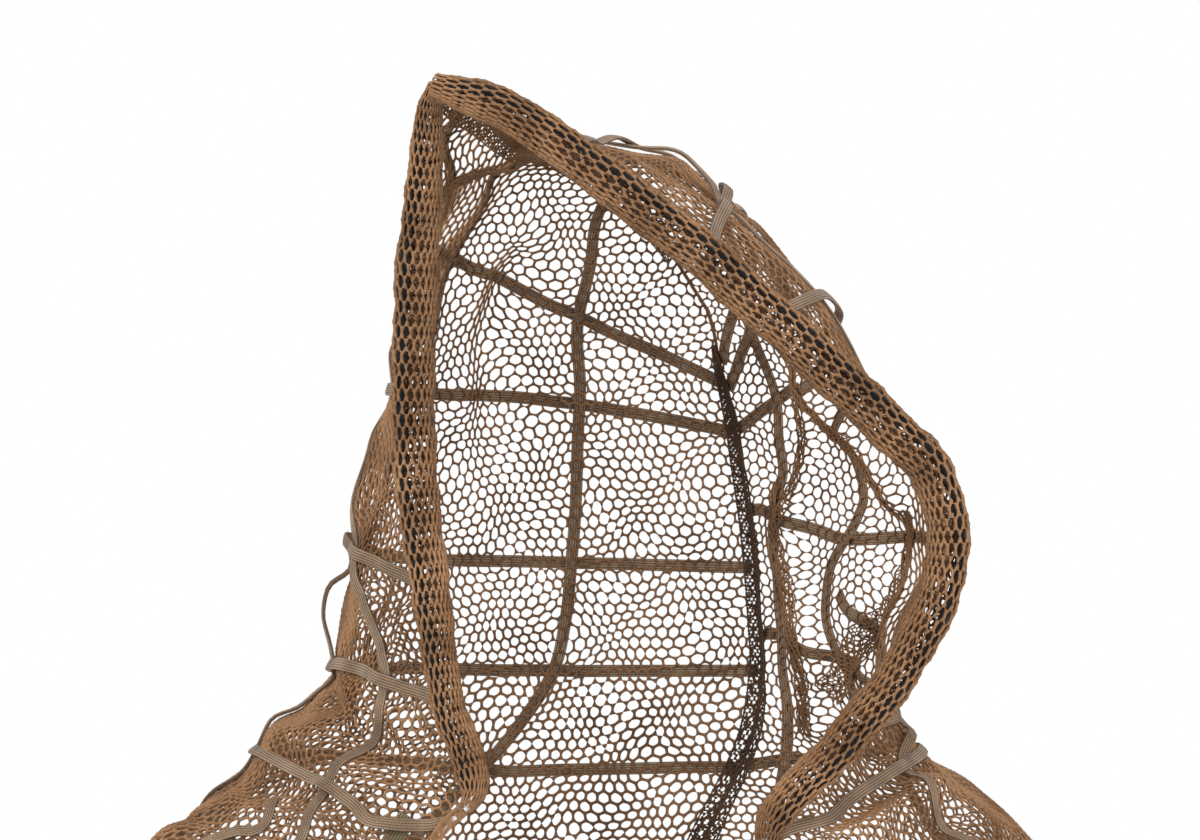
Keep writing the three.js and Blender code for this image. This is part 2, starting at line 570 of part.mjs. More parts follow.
// Centres of a cord at even steps, with the direction out of the cloth at each
function cordLine(cord, passed) {
  const ground = cordGround(cord);
  const lengths = [0];
  ground.slice(1).forEach((here, i) => lengths.push(lengths[i] + here.point.distanceTo(ground[i].point)));
  const count = Math.max(4, Math.round(lengths.at(-1) / CORD_STEP));
  const laid = CLOTH / 2 + LAID_ON + cord.size.thick / 2;
  const line = [];
  for (let step = 0, i = 0; step <= count; step += 1) {
    const target = (lengths.at(-1) * step) / count;
    while (i < ground.length - 1 && lengths[i] < target - 1e-6) i += 1;
    const { point, normal, slack } = ground[i];
    const lift = laid + slack;
    line.push({ index: i, point, normal, lift: lift + riseOver(point, lift, cord.size, passed) });
  }
  const centre = (place) => shifted(place.point, place.normal, place.lift);
  for (let step = 0; step < count; step += 1) {
    const [from, to] = [line[step], line[step + 1]];
    let short = 0;
    for (let i = from.index; i <= to.index; i += 1) {
      const t = (i - from.index) / (to.index - from.index);
      const chord = centre(from).lerp(centre(to), t);
      for (const point of ground[i].under) {
        short = Math.max(short, laid - chord.clone().sub(point).dot(ground[i].normal));
      }
    }
    from.lift += short;
    to.lift += short;
  }
  return line.map((place) => ({ ...place, centre: centre(place) }));
}

// A strip of rectangular section along a line of centres
function stripGeometry(line, size) {
  const last = line.length - 1;
  const sections = line.map(({ centre, normal }, index) => {
    const along = line[Math.min(index + 1, last)].centre.clone();
    along.sub(line[Math.max(index - 1, 0)].centre);
    const sideways = normal.clone().cross(along).normalize();
    const up = along.cross(sideways).normalize();
    const corner = (across, out) => (
      shifted(shifted(centre, sideways, across * size.width / 2), up, out * size.thick / 2)
    );
    return { top: [corner(-1, 1), corner(1, 1)], under: [corner(-1, -1), corner(1, -1)] };
  });
  return slabGeometry(sections.map((section) => section.top), sections.map((section) => section.under));
}

// The elastic inside one side's tunnel, near the tunnel's outer fold
function elasticGeometry(side) {
  const heights = HEIGHTS.filter((up) => up >= 0.3 && up <= 0.96);
  const line = heights.map((up) => {
    const { outward, back } = rollAxes(side, up);
    const wide = readTable(ROLL[side], 'wide', up);
    const centre = shifted(sectionPoint(side, 0, up), outward, wide * 0.4 - 0.6);
    return { centre, normal: back };
  });
  return stripGeometry(line, ELASTIC);
}

// The doubled seam allowance inside the hood: a strip bent along the seam to lie on both panels.
// It is parted where the crown seam turns down into the back seam.
function bindingGeometry(stations) {
  const [left, right] = [PANELS.left, PANELS.right];
  const reach = BINDING.width / 2;
  const depth = CLOTH / 2 + BINDING.thick / 2 + LAID_ON + 0.1;
  const centres = stations.map(({ r, c }) => left.rows[r][c].clone().lerp(right.rows[r][c], 0.5));
  const section = (offset) => stations.map(({ r, c, inner }, index) => {
    const along = centres[Math.min(index + 1, centres.length - 1)].clone();
    along.sub(centres[Math.max(index - 1, 0)]).normalize();
    const arm = (panel) => {
      const towards = panel.rows[inner[0]][inner[1]].clone().sub(panel.rows[r][c]);
      towards.addScaledVector(along, -towards.dot(along)).normalize();
      return shifted(shifted(panel.rows[r][c], towards, reach), panel.normals[r][c], -(depth + offset));
    };
    const outward = left.normals[r][c].clone().add(right.normals[r][c]).normalize();
    return [arm(left), shifted(centres[index], outward, -(depth * 1.25 + offset)), arm(right)];
  });
  return slabGeometry(section(-BINDING.thick / 2), section(BINDING.thick / 2));
}

function namedMesh(name, geometry, colour, roughness) {
  const material = new THREE.MeshStandardMaterial({ color: colour, roughness, metalness: 0 });
  const mesh = new THREE.Mesh(geometry, material);
  mesh.name = name;
  return mesh;
}

const hood = new THREE.Group();
hood.add(namedMesh('panel_left', PANELS.left.geometry, COLOURS.net, 0.9));
hood.add(namedMesh('panel_right', PANELS.right.geometry, COLOURS.net, 0.9));
hood.add(namedMesh('elastic_left', elasticGeometry('left'), COLOURS.elastic, 0.6));
hood.add(namedMesh('elastic_right', elasticGeometry('right'), COLOURS.elastic, 0.6));
const seam = seamPath(PANELS.left.rows);
const crownPart = bindingGeometry(seam.slice(3, WALL_STEPS - 3));
const backPart = bindingGeometry(seam.slice(WALL_STEPS + 4));
hood.add(namedMesh('binding_crown', crownPart, COLOURS.binding, 0.9));
hood.add(namedMesh('binding_back', backPart, COLOURS.binding, 0.9));

const passed = { left: [], right: [] };
for (const cord of LENGTH_CORDS) {
  const line = cordLine(cord, []);
  passed[cord.on].push(...line);
  const colour = cord.size === TAPE ? COLOURS.tape : COLOURS.cord;
  hood.add(namedMesh(cord.name, stripGeometry(line, cord.size), colour, 0.8));
}
for (const cord of RING_CORDS) {
  const line = cordLine(cord, passed[cord.on]);
  hood.add(namedMesh(cord.name, stripGeometry(line, cord.size), COLOURS.cord, 0.8));
}

export default hood;
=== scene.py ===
# %% [markdown]
# # A net hood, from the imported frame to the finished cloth
# The base of a camouflage hood is knitted net: two panels sewn together over the crown and
# down the back, a drawcord tunnel round the face, and flat cords sewn on in a loose grid.
# The frame holds all of these as plain solids at their real size and place. This lesson puts
# the real surfaces there: thread by thread for the net, ribbed braid for the cords.

# %% Load the fixed frame
import math

import bmesh
import bpy
import numpy as np
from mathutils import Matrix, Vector
from mathutils.bvhtree import BVHTree
from mathutils.geometry import barycentric_transform


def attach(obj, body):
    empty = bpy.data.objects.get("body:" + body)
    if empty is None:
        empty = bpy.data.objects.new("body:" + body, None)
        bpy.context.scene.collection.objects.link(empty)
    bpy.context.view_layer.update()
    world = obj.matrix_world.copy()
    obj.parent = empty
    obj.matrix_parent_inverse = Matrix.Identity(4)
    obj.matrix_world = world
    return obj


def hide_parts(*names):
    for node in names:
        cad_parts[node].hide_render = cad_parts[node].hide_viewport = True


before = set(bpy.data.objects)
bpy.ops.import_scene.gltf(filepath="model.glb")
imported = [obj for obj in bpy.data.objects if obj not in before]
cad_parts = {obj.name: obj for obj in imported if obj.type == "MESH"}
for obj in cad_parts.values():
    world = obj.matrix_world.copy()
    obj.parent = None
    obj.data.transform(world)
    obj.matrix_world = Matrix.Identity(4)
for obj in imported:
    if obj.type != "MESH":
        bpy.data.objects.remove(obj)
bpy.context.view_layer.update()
MM = 0.001
BODY = "root"

# %% [markdown]
# ## The camera
# The hood is seen straight from the front, two metres away and level. The width that the view
# takes in at the hood fixes the lens: a longer lens would flatten the roll of the front edge.

# %% Camera
VIEW_DISTANCE = 2.0
VIEW_WIDTH = 0.5556
VIEW_CENTRE = (-0.0028, -0.118)


def place_camera():
    data = bpy.data.cameras.new("camera")
    data.sensor_width = 36
    data.lens = data.sensor_width * VIEW_DISTANCE / VIEW_WIDTH
    camera = bpy.data.objects.new("camera", data)
    camera.location = (VIEW_CENTRE[0], -VIEW_DISTANCE, VIEW_CENTRE[1])
    camera.rotation_euler = (math.radians(90), 0, 0)
    bpy.context.collection.objects.link(camera)
    bpy.context.scene.camera = camera
    return data.lens


print("lens", round(place_camera(), 1), "mm")

# %% [markdown]
# ## Where the cloth goes
# Every place on a panel has two numbers. `across` runs from the front edge (0) round the side
# to the seam (1), and `up` from the hem (0) to the crown (1). A table of sections, one row a
# height, gives five points round the hood and one on the seam, in millimetres. Smooth curves
# between them give the surface. The same tables shape the frame's solids, so the net lands on
# them with no fitting.

# %% Tables of the shape
SEAM = [
    # up, x, y, z
    (0.0, 20, 122, -405),
    (0.16, 45, 112, -330),
    (0.28, 70, 102, -275),
    (0.38, 76, 102, -240),
    (0.46, 75, 106, -215),
    (0.54, 73, 109, -190),
    (0.62, 70, 111, -165),
    (0.7, 66, 112, -140),
    (0.78, 63, 112, -122),
    (0.86, 59, 111, -104),
    (0.93, 55, 110, -88),
    (0.97, 53, 110, -76),
    (1.0, 50, 108, -65),
]
CROWN = [(-76, -98, 29), (-59, -50, 22), (-41, 0, 8), (-15, 50, 4), (20, 90, -22)]
LEFT = [
    # edge, near, side, rear, back
    [(-84, -96, -398), (-150, -104, -396), (-246, -25, -352), (-240, 62, -354), (-120, 122, -396)],
    [(-77, -84, -309), (-120, -88, -318), (-190, -18, -300), (-182, 62, -302), (-80, 112, -322)],
    [(-59, -76, -283), (-95, -66, -275), (-146, -8, -262), (-136, 62, -266), (-56, 106, -272)],
    [(-71, -70, -244), (-100, -48, -240), (-126, 0, -232), (-116, 60, -236), (-48, 104, -240)],
    [(-76, -62, -215), (-102, -36, -210), (-120, 5, -204), (-108, 62, -210), (-44, 106, -214)],
    [(-80, -57, -187), (-100, -28, -184), (-114, 10, -178), (-104, 65, -184), (-42, 108, -187)],
    [(-85, -50, -154), (-100, -20, -153), (-111, 15, -151), (-98, 68, -155), (-40, 107, -160)],
    [(-87, -46, -122), (-98, -15, -122), (-103, 20, -120), (-90, 70, -124), (-35, 106, -130)],
    [(-87, -48, -86), (-92, -15, -84), (-92, 25, -84), (-78, 70, -88), (-28, 103, -98)],
    [(-85, -58, -46), (-84, -15, -44), (-80, 25, -42), (-66, 65, -48), (-20, 98, -70)],
    [(-81, -70, -11), (-76, -30, -11), (-64, 10, -12), (-48, 55, -18), (-4, 90, -45)],
    [(-79, -85, 15), (-71, -40, 9), (-58, 0, 2), (-38, 50, -4), (4, 88, -30)],
]
RIGHT = [
    # edge, near, side, rear, back
    [(84, -98, -404), (150, -104, -400), (246, -22, -356), (240, 64, -358), (136, 118, -398)],
    [(76, -94, -340), (118, -98, -330), (188, -12, -312), (180, 62, -312), (120, 104, -326)],
    [(72, -92, -298), (100, -78, -292), (143, 0, -272), (132, 62, -272), (104, 92, -274)],
    [(104, -85, -262), (118, -40, -256), (132, 10, -250), (118, 60, -244), (96, 84, -241)],
    [(133, -72, -227), (136, -25, -222), (134, 30, -216), (114, 60, -214), (94, 84, -214)],
    [(152, -67, -185), (152, -20, -185), (146, 35, -186), (118, 62, -188), (95, 88, -190)],
    [(147, -72, -145), (148, -25, -148), (143, 30, -152), (118, 65, -158), (94, 92, -162)],
    [(121, -83, -117), (125, -35, -113), (127, 25, -118), (112, 65, -125), (90, 92, -132)],
    [(85, -98, -84), (101, -45, -71), (108, 20, -84), (100, 65, -98), (82, 95, -107)],
    [(41, -110, -45), (57, -50, -28), (71, 10, -31), (76, 60, -48), (70, 92, -72)],
    [(-3, -112, -11), (14, -55, 0), (36, 5, -3), (51, 55, -17), (58, 90, -48)],
    [(-42, -108, 17), (-26, -55, 11), (1, 5, 7), (25, 55, 0), (42, 88, -28)],
]
# The front roll: up, half its width, half its depth
ROLL = {
    "left": [
        (0.0, 2.5, 1.8),
        (0.24, 2.5, 1.8),
        (0.3, 7.0, 4.0),
        (0.42, 7.0, 5.0),
        (0.62, 9.0, 5.0),
        (0.86, 9.0, 5.5),
        (0.95, 7.0, 5.0),
        (0.98, 5.0, 4.0),
        (1.0, 2.5, 2.0),
    ],
    "right": [
        (0.0, 2.5, 1.8),
        (0.24, 2.5, 1.8),
        (0.3, 7.5, 4.5),
        (0.42, 8.5, 5.5),
        (0.7, 9.5, 5.5),
        (0.93, 9.0, 5.5),
        (0.98, 8.0, 5.0),
        (1.0, 5.5, 3.5),
    ],
}
ROLL_LEAVES = 392
GIRTH = 300
HEIGHT = 480
# Folds: depth (a crest above 0, a trough below), width, and the line of places that it follows
FOLDS = {
    "left": [
        (4, 14, [(0.22, 0.68), (0.2, 0.6), (0.13, 0.48)]),
        (-4, 9, [(0.07, 0.66), (0.06, 0.5), (0.05, 0.4)]),
        (-6, 12, [(0.05, 0.28), (0.16, 0.32), (0.27, 0.37)]),
        (5, 11, [(0.06, 0.24), (0.2, 0.27), (0.36, 0.28)]),
        (-6, 14, [(0.08, 0.16), (0.2, 0.2), (0.34, 0.21)]),
        (-7, 9, [(0.14, 0.935), (0.27, 0.96), (0.35, 0.98), (0.42, 0.99)]),
        (5, 16, [(0.55, 0.86), (0.6, 0.7), (0.66, 0.5)]),
        (-5, 14, [(0.78, 0.5), (0.76, 0.3), (0.7, 0.1)]),
        (9, 18, [(0.26, 0.0), (0.28, 0.12)]),
        (-9, 16, [(0.42, 0.0), (0.4, 0.14)]),
        (10, 20, [(0.58, 0.0), (0.56, 0.2)]),
        (-8, 16, [(0.86, 0.0), (0.86, 0.16)]),
    ],
    "right": [
        (-10, 13, [(0.9, 0.63), (0.89, 0.56), (0.86, 0.51), (0.84, 0.43), (0.87, 0.31)]),
        (-5, 10, [(0.75, 0.78), (0.7, 0.73), (0.6, 0.675), (0.54, 0.62)]),
        (4, 12, [(0.62, 0.6), (0.6, 0.5), (0.62, 0.42)]),
        (5, 9, [(0.1, 0.225), (0.22, 0.235), (0.38, 0.24)]),
        (-5, 9, [(0.1, 0.19), (0.22, 0.2), (0.36, 0.21)]),
        (-4, 10, [(0.2, 0.93), (0.3, 0.89), (0.36, 0.84)]),
        (4, 12, [(0.3, 0.42), (0.36, 0.36), (0.42, 0.3)]),
        (8, 18, [(0.3, 0.0), (0.3, 0.13)]),
        (-9, 16, [(0.45, 0.0), (0.43, 0.15)]),
        (9, 20, [(0.62, 0.0), (0.6, 0.2)]),
        (-7, 16, [(0.8, 0.0), (0.79, 0.22)]),
    ],
}
# Creases of the net alone: depth, width, how far the mesh is drawn together (0 to 1), line
CREASES = {
    "left": [
        (2.5, 7, 0.55, [(0.05, 0.65), (0.09, 0.623), (0.14, 0.59), (0.15, 0.55), (0.14, 0.5)]),
        (-2.5, 8, 0.5, [(0.14, 0.46), (0.108, 0.43), (0.167, 0.385)]),
        (3, 10, 0.6, [(0.2, 0.36), (0.183, 0.33), (0.233, 0.288), (0.28, 0.26)]),
        (-2.5, 8, -0.45, [(0.117, 0.372), (0.158, 0.32), (0.175, 0.285)]),
        (3, 9, 0.55, [(0.3, 0.2), (0.25, 0.198), (0.208, 0.21), (0.142, 0.21), (0.083, 0.2)]),
        (-2.5, 8, 0.5, [(0.35, 0.15), (0.25, 0.16), (0.15, 0.165), (0.06, 0.15)]),
        (2, 7, 0.5, [(0.03, 0.93), (0.04, 0.865), (0.045, 0.8), (0.05, 0.7)]),
        (2, 8, 0.5, [(0.07, 0.48), (0.06, 0.42), (0.04, 0.35), (0.05, 0.28)]),
        (2.5, 8, 0.5, [(0.3, 0.66), (0.27, 0.56), (0.3, 0.46), (0.29, 0.38)]),
        (-3, 9, 0.5, [(0.4, 0.5), (0.38, 0.42), (0.42, 0.34), (0.5, 0.28)]),
        (3, 9, 0.55, [(0.15, 0.93), (0.275, 0.948), (0.383, 0.965), (0.45, 0.99)]),
        (2.5, 9, 0.5, [(0.55, 0.9), (0.52, 0.8), (0.54, 0.7)]),
    ],
    "right": [
        (-3, 9, 0.65, [(0.792, 0.76), (0.8, 0.718), (0.817, 0.68), (0.85, 0.65), (0.89, 0.6)]),
        (3, 9, 0.65, [(0.9, 0.628), (0.892, 0.565), (0.858, 0.512), (0.842, 0.427), (0.88, 0.31)]),
        (-3, 8, 0.7, [(0.75, 0.777), (0.7, 0.728), (0.6, 0.675), (0.55, 0.635), (0.533, 0.608)]),
        (2.5, 8, 0.6, [(0.533, 0.57), (0.55, 0.508), (0.6, 0.455), (0.7, 0.413), (0.79, 0.362)]),
        (-2.5, 10, 0.5, [(0.03, 0.74), (0.05, 0.66), (0.05, 0.56), (0.04, 0.46), (0.03, 0.38)]),
        (2.5, 9, 0.5, [(0.22, 0.72), (0.2, 0.62), (0.22, 0.52), (0.2, 0.42)]),
        (3, 8, 0.55, [(0.1, 0.25), (0.2, 0.245), (0.325, 0.25), (0.42, 0.24)]),
        (-2.5, 8, 0.5, [(0.08, 0.16), (0.2, 0.17), (0.35, 0.165), (0.5, 0.15)]),
        (2.5, 9, 0.5, [(0.3, 0.3), (0.42, 0.3), (0.5, 0.32)]),
        (3, 9, 0.55, [(0.1, 0.93), (0.3, 0.92), (0.5, 0.94), (0.7, 0.93)]),
        (2.5, 9, 0.45, [(0.45, 0.86), (0.5, 0.78), (0.48, 0.7)]),
    ],
}
STATIONS = np.array([row[0] for row in SEAM])


def section_table(sections):
    seam = [row[1:] for row in SEAM]
    rows = [[*section, seam[index]] for index, section in enumerate(sections)]
    return np.array([*rows, [*CROWN, seam[-1]]], float) * MM


TABLES = {"left": section_table(LEFT), "right": section_table(RIGHT)}
print("sections", len(STATIONS), "folds", {side: len(rows) for side, rows in FOLDS.items()})

# %% [markdown]
# ## Smooth curves and the wall
# All places are worked out together as arrays, because a net has tens of thousands of
# crossings. `smooth_curve` is the plain cubic through uneven stations that animators know as
# a curve with automatic handles.

# %% The surface


def unit(vectors):
    return vectors / np.maximum(np.linalg.norm(vectors, axis=-1, keepdims=True), 1e-12)


def smooth_step(value, low, high):
    t = np.clip((value - low) / (high - low), 0, 1)
    return t * t * (3 - 2 * t)


def smooth_curve(stations, points, at, first=None):
    """One point for each row of stations and points. first is the slope at the first station."""
    rows = np.arange(len(at))
    last = stations.shape[1] - 1
    start = np.clip((stations <= at[:, None]).sum(axis=1) - 1, 0, last - 1)

    def slope(index):
        before, after = np.maximum(index - 1, 0), np.minimum(index + 1, last)
        run = stations[rows, after] - stations[rows, before]
        result = (points[rows, after] - points[rows, before]) / run[:, None]
        return result if first is None else np.where((index == 0)[:, None], first, result)

    length = (stations[rows, start + 1] - stations[rows, start])[:, None]
    t = (at[:, None] - stations[rows, start][:, None]) / length
    return (
        (2 * t**3 - 3 * t**2 + 1) * points[rows, start]
        + (t**3 - 2 * t**2 + t) * length * slope(start)
        + (3 * t**2 - 2 * t**3) * points[rows, start + 1]
        + (t**3 - t**2) * length * slope(start + 1)
    )


def curve_through(stations, points, at):
    """One curve, read at many stations."""
    shape = (len(at), *points.shape)
    return smooth_curve(np.broadcast_to(stations, shape[:2]), np.broadcast_to(points, shape), at)


def way_along(points):
    """The length of a line of points up to each of them."""
    steps = np.linalg.norm(np.diff(points, axis=0), axis=1)
    return np.concatenate([[0], np.cumsum(steps)])


def resample(line, step):
    """Columns of values at even steps along a line whose first three columns are the place."""
    way = way_along(line[:, :3])
    at = np.linspace(0, way[-1], max(2, round(way[-1] / step) + 1))
    return np.stack([np.interp(at, way, column) for column in line.T], axis=1), way[-1]


def section_point(side, column, up):
    return curve_through(STATIONS, TABLES[side][:, column], up)


def roll_size(side, up):
    heights, wide, deep = np.array(ROLL[side]).T
    return np.interp(up, heights, wide)[:, None] * MM, np.interp(up, heights, deep)[:, None] * MM


def roll_axes(side, up):
    """The directions out of the face opening and to the back, square to the front edge."""
    step = 0.004
    above = section_point(side, 0, np.minimum(up + step, 1))
    along = unit(above - section_point(side, 0, np.maximum(up - step, 0)))
    outward = unit(np.cross(along, (0, 1, 0))) * (1 if side == "left" else -1)
    back = unit(np.cross(along, outward))
    return outward, back * np.where(back[:, 1:2] < 0, -1, 1)


def roll_point(side, up, degrees, grow=1.0):
    outward, back = roll_axes(side, up)
    wide, deep = roll_size(side, up)
    angle = np.radians(np.broadcast_to(degrees, up.shape))[:, None]
    middle = section_point(side, 0, up)
    return middle + (outward * wide * np.cos(angle) + back * deep * np.sin(angle)) * grow


def plain_wall(side, across, up):
    outward, back = roll_axes(side, up)
    wide, deep = roll_size(side, up)
    angle = math.radians(ROLL_LEAVES)
    leaving = unit(back * deep * math.cos(angle) - outward * wide * math.sin(angle))
    points = [roll_point(side, up, ROLL_LEAVES)]
    points += [section_point(side, column, up) for column in range(1, 6)]
    points = np.stack(points, axis=1)
    steps = np.linalg.norm(np.diff(points, axis=1), axis=2)
    lengths = np.concatenate([np.zeros((len(up), 1)), np.cumsum(steps, axis=1)], axis=1)
    total = lengths[:, -1:]
    return smooth_curve(lengths / total, points, across, leaving * total * 0.9)


def way_to_line(across, up, line):
    """Millimetres on the cloth from each place to the nearest point of a line of places."""
    place = np.stack([across * GIRTH, up * HEIGHT], axis=1)
    corners = np.array(line) * (GIRTH, HEIGHT)
    nearest = np.full(place.shape, np.inf)
    for a, b in zip(corners[:-1], corners[1:]):
        t = np.clip(((place - a) @ (b - a)) / ((b - a) @ (b - a)), 0, 1)
        way = a + t[:, None] * (b - a) - place
        nearer = np.linalg.norm(way, axis=1) < np.linalg.norm(nearest, axis=1)
        nearest = np.where(nearer[:, None], way, nearest)
    return nearest


def ridge(across, up, line, width):
    """1 on a line of places and 0 far from it."""
    return np.exp(-((np.linalg.norm(way_to_line(across, up, line), axis=1) / width) ** 2))


def edge_fade(across, up):
    sides = smooth_step(across, 0, 0.06) * smooth_step(1 - across, 0, 0.06)
    return sides * smooth_step((1 - up) * 2, 0, 0.06)


def fold_height(side, across, up):
    height = 1.2 * np.sin(across * 31 + up * 17) * np.sin(up * 43 - across * 9)
    for depth, width, line in FOLDS[side]:
        height = height + depth * ridge(across, up, line, width)
    for depth, width, _, line in CREASES[side]:
        height = height + depth * ridge(across, up, line, width * 0.7)
    return height * edge_fade(across, up)


def drawn_together(side, across, up):
    """Places moved towards the creases beside them, so that the mesh is dense on each crease."""
    for _, width, pull, line in CREASES[side]:
        way = way_to_line(across, up, line) / (GIRTH, HEIGHT)
        amount = pull * ridge(across, up, line, width * 1.3) * edge_fade(across, up)
        across, up = across + way[:, 0] * amount, up + way[:, 1] * amount
    return across, up


def wall_normal(side, across, up):
    step = 0.01
    along_up = plain_wall(side, across, np.minimum(up + step, 1))
    along_up = along_up - plain_wall(side, across, np.maximum(up - step, 0))
    along_across = plain_wall(side, np.minimum(across + step, 1), up)
    along_across = along_across - plain_wall(side, np.maximum(across - step, 0), up)
    return unit(np.cross(along_up, along_across)) * (1 if side == "left" else -1)


def wall_point(side, across, up):
    height = fold_height(side, across, up)[:, None] * MM
    return plain_wall(side, across, up) + wall_normal(side, across, up) * height


middle = wall_point("left", np.array([0.5]), np.array([0.5]))
print("a place half way round the left panel", np.round(middle[0], 3))

# %% [markdown]
# ## Laying the cloth flat
# Net has the same mesh size all over, however the panel curves. So the mesh is drawn on the
# panel laid flat, and not in (across, up), where it would widen with the cape. A grid is moved
# onto the wall, and Blender's own unwrap unrolls it with as little stretch as it can, which is
# what a pattern cutter does by hand.

# %% Unroll a panel
GRID_ACROSS = 50
GRID_UP = 90


def new_object(name, bm):
    mesh = bpy.data.meshes.new(name)
    bm.to_mesh(mesh)
    bm.free()
    item = bpy.data.objects.new(name, mesh)
    bpy.context.collection.objects.link(item)
    return item


def drawn_places(bm):
    return np.array([vert.co[:] for vert in bm.verts])


def unit_grid(columns, rows):
    """A grid from (0, 0) to (1, 1) as a bmesh, with its places as an array."""
    bm = bmesh.new()
    bmesh.ops.create_grid(bm, x_segments=columns, y_segments=rows, size=0.5)
    bmesh.ops.translate(bm, verts=bm.verts, vec=(0.5, 0.5, 0))
    return bm, drawn_places(bm)


def set_places(item, places):
    item.data.vertices.foreach_set("co", np.asarray(places, float).ravel())
    item.data.update()


def unroll(side):
    """The panel's grid of (across, up), the same grid laid flat in metres, and its triangles."""
    bm, grid = unit_grid(GRID_ACROSS, GRID_UP)
    item = new_object("unrolled", bm)
    set_places(item, wall_point(side, grid[:, 0], grid[:, 1]))
    area = sum(face.area for face in item.data.polygons)
    item.data.uv_layers.new(name="flat")
    bpy.context.view_layer.objects.active = item
    item.select_set(True)
    bpy.ops.object.mode_set(mode="EDIT")
    bpy.ops.mesh.select_all(action="SELECT")
    bpy.ops.uv.unwrap(method="MINIMUM_STRETCH", fill_holes=False, margin=0)
    bpy.ops.object.mode_set(mode="OBJECT")
    mesh = item.data
    corners = np.empty(len(mesh.loops) * 2)
    mesh.uv_layers["flat"].data.foreach_get("uv", corners)
    flat = np.zeros((len(grid), 3))
    vertex_of = np.empty(len(mesh.loops), int)
    mesh.loops.foreach_get("vertex_index", vertex_of)
    flat[vertex_of, :2] = corners.reshape(-1, 2)
    mesh.calc_loop_triangles()
    triangles = [tuple(triangle.vertices) for triangle in mesh.loop_triangles]
    bpy.data.objects.remove(item)
    return grid, true_size(flat, triangles, grid, area), triangles


def true_size(flat, triangles, grid, area):
    """The flat grid at its real area, turned until the middle of the cloth stands up."""
    a, b, c = (flat[[triangle[i] for triangle in triangles]] for i in range(3))
    drawn = np.cross(b - a, c - a)[:, 2].sum() / 2
    flat = flat * math.sqrt(area / abs(drawn))
    if drawn < 0:
        flat[:, 0] *= -1
    low = flat[(grid[:, 1] < 0.3) & (abs(grid[:, 0] - 0.5) < 0.2)].mean(axis=0)
    high = flat[(grid[:, 1] > 0.7) & (abs(grid[:, 0] - 0.5) < 0.2)].mean(axis=0)
    turn = math.atan2(high[0] - low[0], high[1] - low[1])
    cosine, sine = math.cos(turn), math.sin(turn)
    x, y = flat[:, 0] * cosine - flat[:, 1] * sine, flat[:, 0] * sine + flat[:, 1] * cosine
    flat = np.stack([x - x.min(), y - y.min(), np.zeros(len(x))], axis=1)
    return flat


FLAT = {side: unroll(side) for side in ("left", "right")}
for side, (_, flat, _) in FLAT.items():
    print(side, "panel laid flat", np.round(flat.max(axis=0)[:2], 3))

# %% [markdown]
# ## The net
# Knitted net has hexagons with rounded corners. A grid becomes a wall of bricks when every
# second upright is dissolved, and bricks become hexagons when their corners move a quarter of
# a side. Each side is cut once more, and a Wireframe modifier turns the sides into threads,
# thicker where they are knitted together and thinner between.

# %% Hexagons
MESH_SIDE = 3.2 * MM
THREADS = {
    "left hood": 2.0 * MM,
    "left cape": 2.35 * MM,
    "right hood": 1.8 * MM,
    "right cape": 2.0 * MM,
}
# Where the net has drawn in: across, up, how far around in metres, how much at the middle
DRAWN_IN = {
    "left": [(0.2, 0.24, 0.11, 0.24), (0.1, 0.5, 0.07, 0.2)],
    "right": [(0.25, 0.22, 0.1, 0.22)],
}
SPARE_MESHES = 5
OFF_CLOTH = 0.2 * MM
MERGED_WITHIN = 0.35 * MM
SLIVER = 0.8 * MM
KNOT_WEIGHT = 0.84
BETWEEN_WEIGHT = 0.6
EDGE_WEIGHT = 1.0


def brick_hexagons(columns, rows):
    """Hexagons that stand on a point, as a bmesh in units of one column and one row."""
    bm, _ = unit_grid(columns, rows)
    bmesh.ops.scale(bm, vec=(columns, rows, 1), verts=bm.verts)
    uprights = []
    for edge in bm.edges:
        a, b = (vert.co for vert in edge.verts)
        if abs(a.x - b.x) < 0.5 and (round(a.x) + round(min(a.y, b.y))) % 2:
            uprights.append(edge)
    bmesh.ops.dissolve_edges(bm, edges=uprights, use_verts=False)
    for vert in bm.verts:
        column, row = round(vert.co.x), round(vert.co.y)
        vert.co.y += 1 / 6 if (column + row) % 2 == 0 else -1 / 6
    return bm


def cut_sides(bm):
    """Cuts every side once. Knots come first in the list of vertices, the new ones after."""
    knots = len(bm.verts)
    for edge in list(bm.edges):
        bmesh.utils.edge_split(edge, edge.verts[0], 0.5)
    bm.verts.index_update()
    return knots


def places_on_panel(side, flat_places):
    """(across, up) of flat places, and how far outside the cloth each was."""
    grid, flat, triangles = FLAT[side]
    corners = [Vector(place) for place in flat]
    targets = [Vector(place) for place in grid]
    tree = BVHTree.FromPolygons(corners, triangles)
    found = np.empty((len(flat_places), 3))
    outside = np.empty(len(flat_places))
    for index, place in enumerate(flat_places):
        hit, _, triangle, distance = tree.find_nearest(Vector(place))
        a, b, c = triangles[triangle]
        source = (corners[a], corners[b], corners[c])
        found[index] = barycentric_transform(hit, *source, targets[a], targets[b], targets[c])
        outside[index] = distance
    return np.clip(found[:, 0], 0, 1), np.clip(found[:, 1], 0, 1), outside


def stretched_by_hand(places, side):
    """Uneven stretch: knots drift by a millimetre or two in slow waves, as net that was worn."""
    x, y = places[:, 0], places[:, 1]
    turn = 0.0 if side == "left" else 2.0
    sideways = 2.0 * np.sin(x * 95 + y * 41 + turn) * np.sin(y * 110 - x * 33)
    sideways += 0.5 * np.sin(x * 230 - y * 90 + turn)
    upwards = 1.9 * np.sin(y * 88 - x * 57 + turn) * np.sin(x * 125 + y * 25)
    upwards += 0.5 * np.sin(y * 210 + x * 120 - turn)
    places[:, 0] += sideways * MM
    places[:, 1] += upwards * MM
    return places


